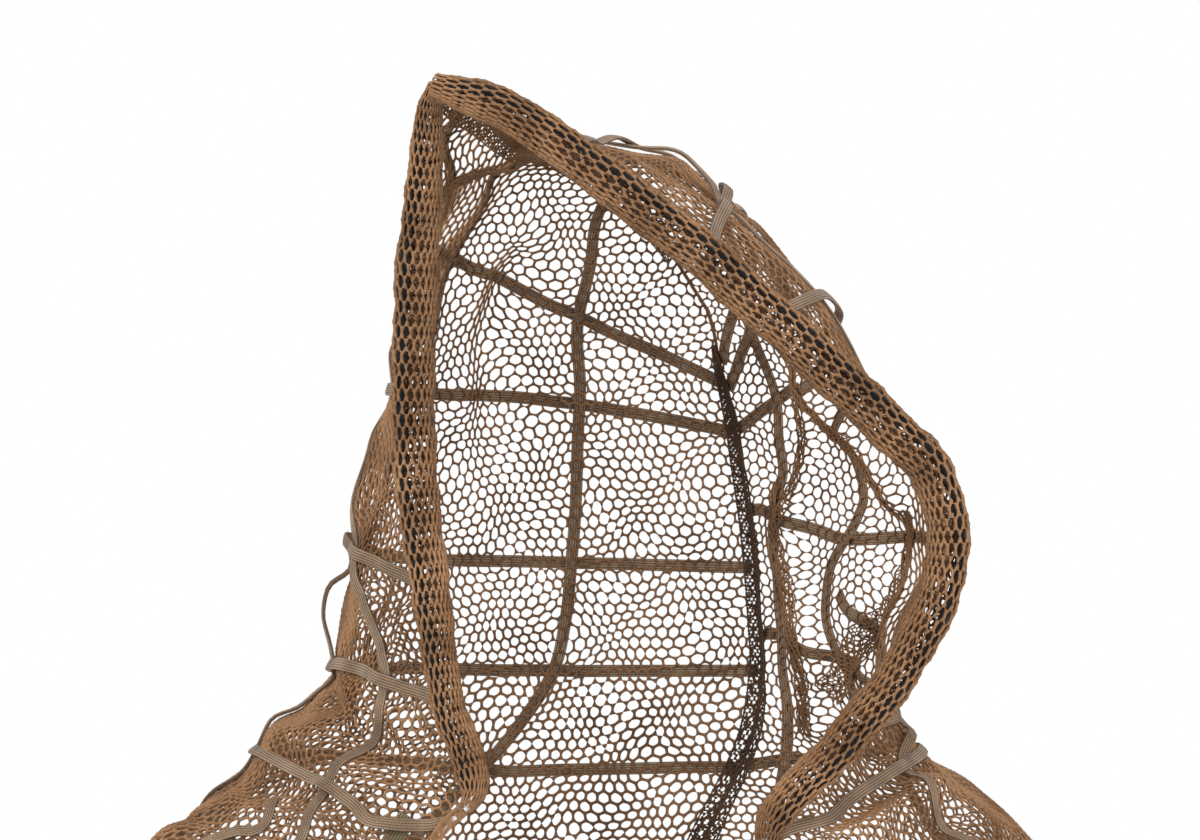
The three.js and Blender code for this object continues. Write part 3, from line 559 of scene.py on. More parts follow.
def drawn_in(places, side):
    """Relaxed net: the meshes shrink towards a few middles, where the cape bunches up."""
    grid, flat, _ = FLAT[side]
    for across, up, reach, amount in DRAWN_IN[side]:
        middle = flat[np.linalg.norm(grid[:, :2] - (across, up), axis=1).argmin()]
        way = places - middle
        near = np.exp(-((np.linalg.norm(way, axis=1) / reach) ** 2))
        places = places - way * (amount * near)[:, None]
    return places


def panel_net(side):
    """The panel's hexagons on the wall, as a bmesh with (across, up) and flat places."""
    _, flat, _ = FLAT[side]
    width, height = flat.max(axis=0)[:2]
    row, column = 1.5 * MESH_SIDE, math.sqrt(3) / 2 * MESH_SIDE
    columns, rows = math.ceil(height / column), math.ceil(width / row)
    bm = brick_hexagons(columns + 2 * SPARE_MESHES, rows + 2 * SPARE_MESHES)
    for vert in bm.verts:
        vert.co = ((vert.co.y - SPARE_MESHES) * row, (vert.co.x - SPARE_MESHES) * column, 0)
    knots = cut_sides(bm)
    places = drawn_in(stretched_by_hand(drawn_places(bm), side), side)
    across, up, outside = places_on_panel(side, places)
    across, up = drawn_together(side, across, up)
    return bm, knots, across, up, outside, places


nets = {side: panel_net(side) for side in ("left", "right")}
print("knots and cuts", {side: len(net[0].verts) for side, net in nets.items()})

# %% [markdown]
# ## Finishes
# Net yarn is spun polyester: matte, a little fuzzy, tan brown, and never one even colour. The
# yarn's twist is far too fine to model, so it is a bump. Every finish here reads Object
# coordinates or the piece's own UV map, so that it stays on the cloth.

# %% Helpers for finishes


def new_material(name, roughness, sheen, sheen_roughness=0.6):
    material = bpy.data.materials.new(name)
    material.use_nodes = True
    tree = material.node_tree
    shader = tree.nodes["Principled BSDF"]
    shader.inputs["Roughness"].default_value = roughness
    shader.inputs["Sheen Weight"].default_value = sheen
    shader.inputs["Sheen Roughness"].default_value = sheen_roughness
    shader.inputs["Specular IOR Level"].default_value = 0.25
    return material, tree, shader


def add_node(tree, kind, inputs=(), **settings):
    node = tree.nodes.new(kind)
    for name, value in settings.items():
        setattr(node, name, value)
    for name, value in dict(inputs).items():
        if isinstance(value, bpy.types.NodeSocket):
            tree.links.new(value, node.inputs[name])
        else:
            node.inputs[name].default_value = value
    return node


def mottled(tree, where, scale, dark, light, low=0.35, high=0.65):
    """A colour that wanders between dark and light."""
    noise = add_node(tree, "ShaderNodeTexNoise", {"Vector": where, "Scale": scale, "Detail": 4.0})
    ramp = add_node(tree, "ShaderNodeValToRGB", {"Fac": noise.outputs["Fac"]})
    ramp.color_ramp.elements[0].position = low
    ramp.color_ramp.elements[1].position = high
    ramp.color_ramp.elements[0].color = (*dark, 1)
    ramp.color_ramp.elements[1].color = (*light, 1)
    return ramp.outputs["Color"]


def mixed(tree, blend, amount, first, second):
    node = add_node(tree, "ShaderNodeMix", data_type="RGBA", blend_type=blend)
    node.inputs[0].default_value = amount
    tree.links.new(first, node.inputs[6])
    tree.links.new(second, node.inputs[7])
    return node.outputs[2]


def vector_maths(tree, operation, inputs):
    return add_node(tree, "ShaderNodeVectorMath", inputs, operation=operation)


YARN_GRAIN = 900.0
# The middle of the hood and how it is squashed, for the painted shade inside the hood
PAINTED_SHADE_MIDDLE = (0.01, 0.02, -0.36)
PAINTED_SHADE_SQUASH = (1.0, 1.0, 0.6)


def painted_inner_shade(tree, places, colour, inside):
    """Painted shade: the side of the cloth that faces the middle of the hood is made darker, as
    the shade that falls inside the hood.
    """
    way = places.outputs["Object"]
    way = vector_maths(tree, "SUBTRACT", {0: way, 1: PAINTED_SHADE_MIDDLE}).outputs[0]
    way = vector_maths(tree, "MULTIPLY", {0: way, 1: PAINTED_SHADE_SQUASH}).outputs[0]
    way = vector_maths(tree, "NORMALIZE", {0: way}).outputs[0]
    facing = vector_maths(tree, "DOT_PRODUCT", {0: way, 1: places.outputs["Normal"]})
    amount = {"Value": facing.outputs["Value"], 1: -0.45, 2: 0.3, 3: inside, 4: 1.0}
    amount = add_node(tree, "ShaderNodeMapRange", amount, interpolation_type="SMOOTHSTEP")
    return vector_maths(tree, "SCALE", {0: colour, "Scale": amount.outputs[0]}).outputs[0]


def add_bump(tree, shader, height, strength, distance):
    bump = {"Height": height, "Strength": strength, "Distance": distance}
    bump = add_node(tree, "ShaderNodeBump", bump)
    tree.links.new(bump.outputs["Normal"], shader.inputs["Normal"])


def yarn_finish(name, dark, light, inside=0.5):
    """Matte yarn: slow and fine colour changes, painted shade on the side that faces the middle of
    the hood, and a fine twist as bump.
    """
    material, tree, shader = new_material(name, roughness=0.9, sheen=0.06)
    places = add_node(tree, "ShaderNodeTexCoord")
    where = places.outputs["Object"]
    slow = mottled(tree, where, 34.0, dark, light)
    fine = mottled(tree, where, YARN_GRAIN, (0.62, 0.58, 0.54), (1.0, 1.0, 1.0), 0.25, 0.75)
    colour = mixed(tree, "MULTIPLY", 0.75, slow, fine)
    # Painted shade: the side that faces the middle of the hood is darker
    colour = painted_inner_shade(tree, places, colour, inside)
    tree.links.new(colour, shader.inputs["Base Color"])
    twist = {"Vector": where, "Scale": YARN_GRAIN * 2.4, "Detail": 3.0}
    twist = add_node(tree, "ShaderNodeTexNoise", twist)
    add_bump(tree, shader, twist.outputs["Fac"], 0.6, 0.3 * MM)
    return material


# The last number is how dark the painted shade inside the hood goes
NET_YARN = yarn_finish("net yarn", (0.225, 0.112, 0.048), (0.43, 0.235, 0.115), 0.68)
print("finish", NET_YARN.name)

# %% [markdown]
# ## Sewing the nets up
# Hood and cape are one cloth, but a piece may hold only so many triangles. Each panel is parted
# where a sewn cord crosses it from front to back, so the parting is under the cord.

# %% Panel nets
PARTING = {
    "left": [(0.0, 0.388), (0.13, 0.393), (0.275, 0.378), (1.0, 0.38)],
    "right": [(0.0, 0.355), (0.2, 0.37), (0.45, 0.375), (0.65, 0.39), (0.883, 0.427), (1.0, 0.44)],
}


def thread_modifier(item, thickness):
    modifier = item.modifiers.new("threads", "WIREFRAME")
    modifier.thickness = thickness
    modifier.use_even_offset = False
    modifier.use_relative_offset = False
    modifier.use_boundary = True
    modifier.use_replace = True
    modifier.vertex_group = "thread"
    modifier.thickness_vertex_group = 0.0


def knitted(name, node, bm, thread, material):
    """A bmesh of meshes with thread weights becomes a piece that takes the node's place."""
    for face in bm.faces:
        face.smooth = True
    item = new_object(name, bm)
    item.vertex_groups.new(name="thread")
    thread_modifier(item, thread)
    item.data.materials.append(material)
    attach(item, BODY)
    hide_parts(node)
    return item


def net_piece(side, part, material):
    keep = part == "hood"
    bm, knots, across, up, outside, flat_places = nets[side]
    bm = bm.copy()
    bm.verts.ensure_lookup_table()
    places = wall_point(side, across, up)
    for vert, place in zip(bm.verts, places):
        vert.co = place
    inside = outside < OFF_CLOTH
    unwanted, kept = [], []
    for face in bm.faces:
        corners = [vert.index for vert in face.verts]
        middle = up[corners].mean() - np.interp(across[corners].mean(), *zip(*PARTING[side]))
        if not inside[corners].any() or (middle > 0) != keep:
            unwanted.append(face)
        else:
            kept.extend(corner for corner in corners if inside[corner])
    weight = bm.verts.layers.deform.verify()
    for vert in bm.verts:
        on_edge = outside[vert.index] > OFF_CLOTH
        plain = KNOT_WEIGHT if vert.index < knots else BETWEEN_WEIGHT
        vert[weight][0] = EDGE_WEIGHT if on_edge else plain
    bmesh.ops.delete(bm, geom=unwanted, context="FACES")
    bmesh.ops.remove_doubles(bm, verts=bm.verts, dist=MERGED_WITHIN)
    slivers = [face for face in bm.faces if face.calc_area() < SLIVER**2]
    bmesh.ops.delete(bm, geom=slivers, context="FACES")
    thread = THREADS[f"{side} {part}"]
    item = knitted(f"net_{side}_{part}", f"panel_{side}", bm, thread, material)
    area = sum(face.area for face in item.data.polygons)
    return item, np.ptp(flat_places[kept][:, :2], axis=0), area


panel_pieces = {}
worn_sizes = {}
for side in ("left", "right"):
    for part in ("hood", "cape"):
        item, size, area = net_piece(side, part, NET_YARN)
        panel_pieces[side, part] = item
        worn_sizes[side, part] = (size, area)
        print(item.name, "meshes", len(item.data.polygons), "laid flat", size.round(3))

# %% [markdown]
# ## The drawcord tunnel
# The front edge is turned in and sewn down as a tunnel. Pulled along its length, the net closes
# up there: its hexagons get long and narrow and stand on a point. The same bricks serve, rolled
# round the edge instead of laid on a wall.

# %% Tunnel nets
TUNNEL_COLUMNS = 28
TUNNEL_ROW = 5.85 * MM
TUNNEL_THREAD = 2.5 * MM
TUNNEL_FULL = 7.5 * MM
# Where the tunnel's net leaves the wall: in degrees round the roll, later on a narrow one
FULL_ROLL = 9
LEAVES_AT = 58
LATER_A_MM = 14
LEAVES_BY = 150
CROWDED_AT = 195
CROWDED_OVER = 50
CROWDED = 1.2


def roll_start(side, up):
    wide, _ = roll_size(side, up)
    degrees = LEAVES_AT + (FULL_ROLL - wide[:, 0] / MM) * LATER_A_MM
    return np.clip(degrees, LEAVES_AT, LEAVES_BY)


def gathered_round(part, side, up):
    """Degrees round the roll's oval for a part of the way round, in steps that crowd together
    on the side of the face opening."""
    wide, deep = roll_size(side, up)
    turns = np.linspace(0, 1, 61)
    start = roll_start(side, up)[:, None]
    degrees = start + (ROLL_LEAVES - start) * turns
    x, y = wide * np.cos(np.radians(degrees)), deep * np.sin(np.radians(degrees))
    crowd = 1 + CROWDED * np.exp(-(((degrees[:, 1:] - CROWDED_AT) / CROWDED_OVER) ** 2))
    steps = np.hypot(np.diff(x, axis=1), np.diff(y, axis=1)) * crowd
    way = np.concatenate([np.zeros((len(up), 1)), np.cumsum(steps, axis=1)], axis=1)
    way /= way[:, -1:]
    return np.array([np.interp(p, w, d) for p, w, d in zip(part, way, degrees)])


def edge_strip(side, columns, row, cut, lowest=0.0):
    """Hexagons along the front edge. For each vertex: its part of the way across the strip, from
    0 to 1, and its height up."""
    heights = np.linspace(lowest, 1, 400)
    way = way_along(section_point(side, 0, heights))
    rows = round(way[-1] / row)
    bm = brick_hexagons(columns, rows)
    knots = cut_sides(bm) if cut else len(bm.verts)
    part, along = np.clip(drawn_places(bm)[:, :2] / (columns, rows), 0, 1).T
    return bm, knots, part, np.interp(along, way / way[-1], heights)


def finish_net(name, node, bm, knots, places, weights, thread, material, slot="net"):
    weight = bm.verts.layers.deform.verify()
    for vert, place, amount in zip(bm.verts, places, weights):
        vert.co = place
        plain = KNOT_WEIGHT if vert.index < knots else BETWEEN_WEIGHT
        vert[weight][0] = plain * amount
    return knitted(name, node, bm, thread, material)


def tunnel_net(side):
    bm, knots, part, up = edge_strip(side, TUNNEL_COLUMNS, TUNNEL_ROW, cut=True)
    wave = 1 + 0.05 * np.sin(up * 90 + part * 7) + 0.03 * np.sin(up * 210 - part * 11)
    slip = 0.006 * np.sin(up * 70 + part * 5)
    part = np.clip(part + slip * np.sin(part * math.pi), 0, 1)
    places = roll_point(side, up, gathered_round(part, side, up), wave[:, None])
    wide, _ = roll_size(side, up)
    weights = np.clip(wide[:, 0] / TUNNEL_FULL, 0.3, 1)
    mesh = (bm, knots, places, weights, TUNNEL_THREAD)
    return finish_net(f"tunnel_{side}", f"panel_{side}", *mesh, NET_YARN)


tunnels = {side: tunnel_net(side) for side in ("left", "right")}
print("tunnels", {side: len(item.data.polygons) for side, item in tunnels.items()})

# %% [markdown]
# The raw edge of the hem lies inside the tunnel, flat and crushed, behind the elastic. It makes
# the front edge look solid: a hole of the outer net shows brown net behind it. That net is the
# same yarn painted darker, as the shade inside the tunnel.

# %% Turned-in edge
TURNED_COLUMNS = 10
TURNED_ROW = 3.2 * MM
TURNED_THREADS = {"left": 2.4 * MM, "right": 2.0 * MM}
TURNED_FROM = 0.26


def turned_edge(side, material):
    strip = edge_strip(side, TURNED_COLUMNS, TURNED_ROW, cut=False, lowest=TURNED_FROM)
    bm, knots, part, up = strip
    outward, back = roll_axes(side, up)
    wide, deep = roll_size(side, up)
    crush = 0.06 * np.sin(up * 300 + part * 9)
    sideways = (part * 1.74 - 0.86 + crush * 0.4)[:, None] * wide
    behind = (smooth_step(part, 0.4, 0.68) * 0.8 - 0.35 + crush)[:, None] * deep
    places = section_point(side, 0, up) + outward * sideways + back * behind
    weights = np.clip(wide[:, 0] / TUNNEL_FULL, 0.4, 1)
    mesh = (bm, knots, places, weights, TURNED_THREADS[side])
    return finish_net(f"turned_edge_{side}", f"panel_{side}", *mesh, material)


# The turned-in edge is net yarn made darker: painted shade of the layer inside the tunnel
SHADED_NET_YARN = yarn_finish("net yarn in painted shade", (0.10, 0.048, 0.022), (0.20, 0.10, 0.048))
turned_edges = {side: turned_edge(side, SHADED_NET_YARN) for side in ("left", "right")}
print("turned in", {side: len(item.data.polygons) for side, item in turned_edges.items()})

# %% [markdown]
# Some folds are sharp: there the net lies in three layers, and a dark rope of threads shows. A
# strip of crowded net on the inner side of the wall stands for the two layers that are folded
# under. It is widest where the hem's facing bunches below the face opening.

# %% Folded layers
# Half widths in millimetres at the start, the middle and the end, and the line of places
PLEATS = {
    "facing": (
        "right", (2, 3.5, 3),
        [(0.77, 0.8), (0.75, 0.777), (0.7, 0.728), (0.6, 0.675), (0.53, 0.608)],
    ),
    "bunch": (
        "right", (4, 9, 9),
        [(0.5, 0.6), (0.53, 0.54), (0.57, 0.48), (0.7, 0.413), (0.8, 0.36)],
    ),
    "rear": (
        "right", (1.5, 2.5, 3),
        [(0.792, 0.79), (0.8, 0.718), (0.817, 0.68), (0.85, 0.65), (0.89, 0.6)],
    ),
    "nape": (
        "right", (2.5, 5, 6),
        [(0.9, 0.66), (0.892, 0.565), (0.858, 0.512), (0.842, 0.427), (0.88, 0.3)],
    ),
    "flap": (
        "left", (1.5, 2.5, 1.5),
        [(0.04, 0.65), (0.09, 0.623), (0.14, 0.59), (0.15, 0.55), (0.14, 0.48)],
    ),
    "neck": (
        "left", (2.5, 5, 3),
        [(0.12, 0.45), (0.11, 0.42), (0.167, 0.385), (0.19, 0.33), (0.24, 0.28)],
    ),
    "arch": (
        "left", (2.5, 4, 3),
        [(0.12, 0.92), (0.2, 0.94), (0.3, 0.953), (0.4, 0.97), (0.45, 0.99)],
    ),
}
PLEAT_COLUMN = 1.35
PLEAT_ROW = 2.9
PLEAT_THREAD = 1.35 * MM
PLEAT_DEPTH = 1.6
PLEAT_STEPS = 121


def pleat_net(name, side, halves, line):
    at = np.linspace(0, len(line) - 1, PLEAT_STEPS)
    middle = curve_through(np.arange(len(line)), np.array(line) * (GIRTH, HEIGHT), at)
    table, length = resample(np.hstack([middle, np.zeros((PLEAT_STEPS, 1))]), 1.0)
    heading = unit(np.gradient(table[:, :2], axis=0))
    columns = 2 * max(2, round(max(halves) / PLEAT_COLUMN))
    rows = round(length / PLEAT_ROW)
    bm = brick_hexagons(columns, rows)
    drawn = drawn_places(bm)
    along = np.clip(drawn[:, 1] / rows, 0, 1)
    row = np.rint(along * (len(table) - 1)).astype(int)
    offset = (drawn[:, 0] / columns * 2 - 1) * np.interp(along, (0, 0.5, 1), halves)
    offset = offset + 0.5 * np.sin(along * length * 0.35)
    sideways = np.stack([-heading[row, 1], heading[row, 0]], axis=1)
    place = (table[row, :2] + sideways * offset[:, None]) / (GIRTH, HEIGHT)
    across, up = np.clip(place, 0.004, 0.996).T
    depth = PLEAT_DEPTH + 0.8 * np.sin(along * length * 0.5 + offset * 1.3)
    places = wall_point(side, across, up)
    places = places - wall_normal(side, across, up) * (depth * MM)[:, None]
    mesh = (bm, len(bm.verts), places, np.ones(len(places)), PLEAT_THREAD)
    return finish_net(f"pleat_{side}_{name}", f"panel_{side}", *mesh, NET_YARN)


pleats = {name: pleat_net(name, *row) for name, row in PLEATS.items()}
print("pleats", {name: len(item.data.polygons) for name, item in pleats.items()})

# %% [markdown]
# ## Swept pieces
# Cords, tapes and elastic are one section carried along a line. A grid serves again: one
# direction goes round the section and the other along the line, its two long sides are merged,
# and its ends are filled. The grid's own places stay on it as a UV map in metres, so that a
# braid's pattern can follow the cord.

# %% Sweep a section along a line


def ribbed_section(turn, width, thick, ribs, groove=0.42):
    """Over the top of the section from edge to edge, and back underneath, as turn goes 0 to 1."""
    top = turn < 0.5
    part = np.where(top, turn * 2, 2 - turn * 2)
    swell = np.sqrt(np.maximum(1 - (2 * part - 1) ** 4, 0))
    rib = 1 - groove * (0.5 + 0.5 * np.cos(2 * math.pi * ribs * part))
    return (part - 0.5) * width, np.where(top, 1, -1) * thick / 2 * swell * rib


def swept_piece(name, centres, outs, section, columns, material, slot):
    """section gives (sideways, out) for a turn from 0 to 1. outs point away from the cloth."""
    rows = len(centres) - 1
    along = np.gradient(centres, axis=0)
    sideways = unit(np.cross(outs, along))
    outs = unit(np.cross(along, sideways))
    length = np.linalg.norm(np.diff(centres, axis=0), axis=1).sum()
    bm, grid = unit_grid(columns, rows)
    uv = bm.loops.layers.uv.new("along")
    for face in bm.faces:
        face.smooth = True
        for loop in face.loops:
            loop[uv].uv = (loop.vert.co.x, loop.vert.co.y * length)
    row = np.rint(grid[:, 1] * rows).astype(int)
    side, out = section(grid[:, 0])
    places = centres[row] + sideways[row] * side[:, None] + outs[row] * out[:, None]
    for vert, place in zip(bm.verts, places):
        vert.co = place
    bmesh.ops.remove_doubles(bm, verts=bm.verts, dist=0.01 * MM)
    open_edges = [edge for edge in bm.edges if edge.is_boundary]
    bmesh.ops.holes_fill(bm, edges=open_edges, sides=0)
    bmesh.ops.recalc_face_normals(bm, faces=bm.faces)
    item = new_object(name, bm)
    item.data.materials.append(material)
    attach(item, BODY)
    return item


def painted_groove_shade(tree, along, ribs):
    """Painted shade: white on the ribs of a cord and grey in the grooves between them, as the
    shade that falls in the grooves.
    """
    around = add_node(tree, "ShaderNodeSeparateXYZ", {"Vector": along}).outputs["X"]
    turns = {0: around, 1: 4 * math.pi * ribs}
    turns = add_node(tree, "ShaderNodeMath", turns, operation="MULTIPLY")
    wave = add_node(tree, "ShaderNodeMath", {0: turns.outputs[0]}, operation="COSINE")
    depth = {"Value": wave.outputs[0], 1: -0.2, 2: 0.85, 3: 1.0, 4: 0.3}
    depth = add_node(tree, "ShaderNodeMapRange", depth).outputs[0]
    return add_node(tree, "ShaderNodeCombineXYZ", {0: depth, 1: depth, 2: depth}).outputs[0]


def braid_finish(name, dark, light, sheen, columns, pitch, strength, roughness=0.75):
    """Braided yarn that follows the cord: slanting stitches in the piece's own UV map, and painted
    shade in the grooves between the ribs.
    """
    material, tree, shader = new_material(name, roughness, sheen)
    where = add_node(tree, "ShaderNodeTexCoord")
    noise_colour = mottled(tree, where.outputs["Object"], 60.0, dark, light)
    fine = mottled(tree, where.outputs["Object"], 1400.0, (0.6, 0.57, 0.53), (1, 1, 1), 0.3, 0.7)
    stretch = {"Vector": where.outputs["UV"], "Scale": (columns, 1 / pitch, 1)}
    stretch = add_node(tree, "ShaderNodeMapping", stretch).outputs["Vector"]
    bands = {"wave_type": "BANDS", "bands_direction": "DIAGONAL"}
    stitch = {"Vector": stretch, "Scale": 0.5, "Distortion": 1.2, "Detail": 1.0}
    stitch = add_node(tree, "ShaderNodeTexWave", stitch, **bands)
    ramp = add_node(tree, "ShaderNodeValToRGB", {"Fac": stitch.outputs["Fac"]})
    ramp.color_ramp.elements[0].color = (0.62, 0.6, 0.58, 1)
    ramp.color_ramp.elements[1].color = (1, 1, 1, 1)
    colour = mixed(tree, "MULTIPLY", 0.7, noise_colour, fine)
    colour = mixed(tree, "MULTIPLY", 0.6, colour, ramp.outputs["Color"])
    # Painted shade in the grooves between the ribs
    grooves = painted_groove_shade(tree, where.outputs["UV"], columns)
    colour = mixed(tree, "MULTIPLY", 1.0, colour, grooves)
    tree.links.new(colour, shader.inputs["Base Color"])
    add_bump(tree, shader, stitch.outputs["Fac"], strength, 0.25 * MM)
    return material


CORD_BRAID = braid_finish(
    "cord braid", (0.27, 0.175, 0.11), (0.45, 0.315, 0.205), 0.08, 5, 1.1 * MM, 0.5
)
TAPE_WEAVE = braid_finish(
    "olive tape", (0.21, 0.16, 0.085), (0.34, 0.27, 0.155), 0.08, 7, 1.0 * MM, 0.4
)
ELASTIC_COVER = braid_finish(
    "elastic cover", (0.008, 0.008, 0.009), (0.024, 0.023, 0.025), 0.15, 9, 0.9 * MM, 0.6, 0.55
)
print("finishes", CORD_BRAID.name, TAPE_WEAVE.name, ELASTIC_COVER.name)

# %% [markdown]
# ## The elastic
# A dark braided elastic runs in the tunnel, against its outer fold, and shows through the holes
# there as a row of dark ovals.

# %% Elastic in the tunnels
ELASTIC_WIDTH = 4.5 * MM
ELASTIC_THICK = 3.0 * MM
ELASTIC_HEIGHTS = (0.27, 0.995)
ELASTIC_OUT = 0.88


def elastic_piece(side):
    heights = np.linspace(*ELASTIC_HEIGHTS, 220)
    outward, back = roll_axes(side, heights)
    wide, _ = roll_size(side, heights)
    outwards = wide * ELASTIC_OUT - ELASTIC_WIDTH / 2
    centres = section_point(side, 0, heights) + outward * outwards
    line, length = resample(np.hstack([centres, back]), 3.0 * MM)
    section = lambda turn: ribbed_section(turn, ELASTIC_WIDTH, ELASTIC_THICK, 4, 0.1)
    swept = (line[:, :3], unit(line[:, 3:]), section, 16)
    item = swept_piece(f"drawn_elastic_{side}", *swept, ELASTIC_COVER, "elastic")
    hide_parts(f"elastic_{side}")
    return item, length


for side in ("left", "right"):
    item, length = elastic_piece(side)
    print(item.name, round(length, 3), "m")

# %% [markdown]
# ## The sewn cords
# Flat ribbed cord is sewn on along and round the hood, as places to tie camouflage to. It is
# stitched at intervals and stands off the net in small loops between them. Each place is
# (across, up), with the slack in millimetres where the cord stands off. Rings pass over the
# cords that run along.

# %% Cord routes
CORDS = {
    "cord_left_front": [
        (0.16, 0.955), (0.22, 0.91), (0.27, 0.86), (0.28, 0.8, 2), (0.28, 0.775, 8),
        (0.27, 0.75, 5), (0.25, 0.725), (0.24, 0.69), (0.22, 0.64), (0.21, 0.59), (0.17, 0.54),
        (0.135, 0.49), (0.11, 0.45), (0.09, 0.42), (0.085, 0.39), (0.105, 0.345), (0.135, 0.3),
        (0.15, 0.26), (0.155, 0.2), (0.16, 0.1), (0.165, 0.02),
    ],
    "cord_left_side": [
        (0.42, 0.97), (0.41, 0.9), (0.4, 0.84), (0.38, 0.76), (0.36, 0.7), (0.33, 0.62),
        (0.3, 0.57, 3), (0.285, 0.545, 4), (0.28, 0.51, 1), (0.28, 0.48, 8), (0.28, 0.44, 8),
        (0.28, 0.4, 2), (0.285, 0.355), (0.32, 0.307, 1), (0.34, 0.262, 1), (0.37, 0.22),
        (0.4, 0.165), (0.41, 0.1), (0.415, 0.02),
    ],
    "cord_left_shoulder": [
        (0.215, 0.212), (0.205, 0.18), (0.225, 0.165, 2), (0.24, 0.14), (0.25, 0.08),
        (0.255, 0.02),
    ],
    "cord_left_back": [
        (0.7, 0.95), (0.71, 0.84), (0.72, 0.7), (0.72, 0.5), (0.71, 0.3), (0.7, 0.14),
        (0.7, 0.02),
    ],
    "cord_right_front": [
        (0.32, 0.975), (0.335, 0.95, 1), (0.345, 0.93, 4), (0.345, 0.91, 5), (0.335, 0.892, 4),
        (0.31, 0.875, 2), (0.28, 0.857, 1), (0.26, 0.84), (0.25, 0.82), (0.255, 0.78),
        (0.28, 0.7), (0.3, 0.6), (0.33, 0.5), (0.36, 0.4), (0.4, 0.335, 2), (0.4, 0.31, 3),
        (0.35, 0.275), (0.32, 0.2), (0.305, 0.1), (0.3, 0.02),
    ],
    "cord_right_rear": [
        (0.6, 0.965), (0.6, 0.86), (0.62, 0.78), (0.658, 0.705), (0.65, 0.633), (0.675, 0.605),
        (0.717, 0.575), (0.76, 0.54), (0.775, 0.5), (0.76, 0.42), (0.73, 0.3), (0.69, 0.15),
        (0.67, 0.02),
    ],
    "cord_right_back": [
        (0.86, 0.9), (0.87, 0.82), (0.883, 0.745), (0.892, 0.68), (0.905, 0.62), (0.93, 0.55),
        (0.94, 0.42), (0.93, 0.28), (0.9, 0.15), (0.88, 0.02),
    ],
    "cord_right_brace": [
        (0.725, 0.5), (0.692, 0.478), (0.65, 0.463), (0.6, 0.446), (0.53, 0.425), (0.45, 0.4),
    ],
}
TAPES = {
    "tape_left_front": [
        (0.055, 0.225), (0.055, 0.17), (0.05, 0.1), (0.05, 0.02),
    ],
    "tape_right_front": [
        (0.06, 0.225), (0.06, 0.17), (0.055, 0.1), (0.055, 0.02),
    ],
}
RINGS = {
    "ring_left_brow": [
        (0.05, 0.872), (0.2, 0.868), (0.45, 0.866), (0.7, 0.87), (0.95, 0.875),
    ],
    "ring_left_ear": [
        (0.05, 0.74), (0.25, 0.736, 1.5), (0.5, 0.745), (0.75, 0.758), (0.96, 0.768),
    ],
    "ring_left_chin": [
        (0.05, 0.532), (0.1, 0.537), (0.17, 0.541, 1), (0.22, 0.552, 5), (0.3, 0.548, 1),
        (0.5, 0.54), (0.75, 0.54), (0.97, 0.54),
    ],
    "ring_left_neck": [
        (0.04, 0.388), (0.13, 0.393), (0.2, 0.388), (0.275, 0.378, 2), (0.4, 0.378), (0.6, 0.38),
        (0.8, 0.38), (0.97, 0.38),
    ],
    "ring_left_shoulder": [
        (0.075, 0.213), (0.108, 0.227), (0.158, 0.238), (0.225, 0.245), (0.3, 0.245),
        (0.38, 0.24, 3), (0.5, 0.235), (0.75, 0.24), (0.97, 0.25),
    ],
    "ring_left_hem": [
        (0.08, 0.07), (0.25, 0.085), (0.5, 0.095), (0.75, 0.09), (0.97, 0.085),
    ],
    "ring_right_crown": [
        (0.06, 0.948), (0.18, 0.95, 1), (0.3, 0.952, 4), (0.42, 0.948, 1), (0.62, 0.935),
        (0.84, 0.915),
    ],
    "ring_right_brow": [
        (0.06, 0.857), (0.125, 0.86), (0.2, 0.866, 1), (0.3, 0.874, 3), (0.4, 0.89, 4),
        (0.46, 0.9, 2), (0.55, 0.9), (0.7, 0.885), (0.94, 0.86),
    ],
    "ring_right_ear": [
        (0.06, 0.8), (0.175, 0.795, 1), (0.28, 0.79, 4), (0.36, 0.786, 3), (0.48, 0.79),
        (0.6, 0.795), (0.75, 0.775), (0.81, 0.78), (0.88, 0.777), (0.96, 0.775),
    ],
    "ring_right_chin": [
        (0.06, 0.56), (0.2, 0.565), (0.45, 0.57), (0.717, 0.578), (0.775, 0.587), (0.85, 0.6),
        (0.917, 0.615), (0.965, 0.628),
    ],
    "ring_right_neck": [
        (0.05, 0.36), (0.2, 0.37), (0.45, 0.375), (0.65, 0.39), (0.75, 0.405), (0.883, 0.427),
        (0.965, 0.437),
    ],
    "ring_right_shoulder": [
        (0.1, 0.272), (0.16, 0.28), (0.267, 0.281), (0.342, 0.278, 2), (0.45, 0.275),
        (0.567, 0.273), (0.75, 0.265), (0.965, 0.255),
    ],
    "ring_right_hem": [
        (0.09, 0.085), (0.25, 0.1), (0.5, 0.105), (0.75, 0.1), (0.965, 0.09),
    ],
}
CORD_THICK = 1.9 * MM
# Width, thickness and number of ribs
CORD_SIZE = (6.0 * MM, CORD_THICK, 5)
TAPE_SIZE = (9.0 * MM, 1.4 * MM, 7)
STITCHED_AT = 1.5 * MM
CORD_STEP = 3.5 * MM
PASSING_NEAR, PASSING_FAR = 5 * MM, 12 * MM
STEPS_A_PLACE = 24
CROWN_CORDS_ABOVE = 0.88


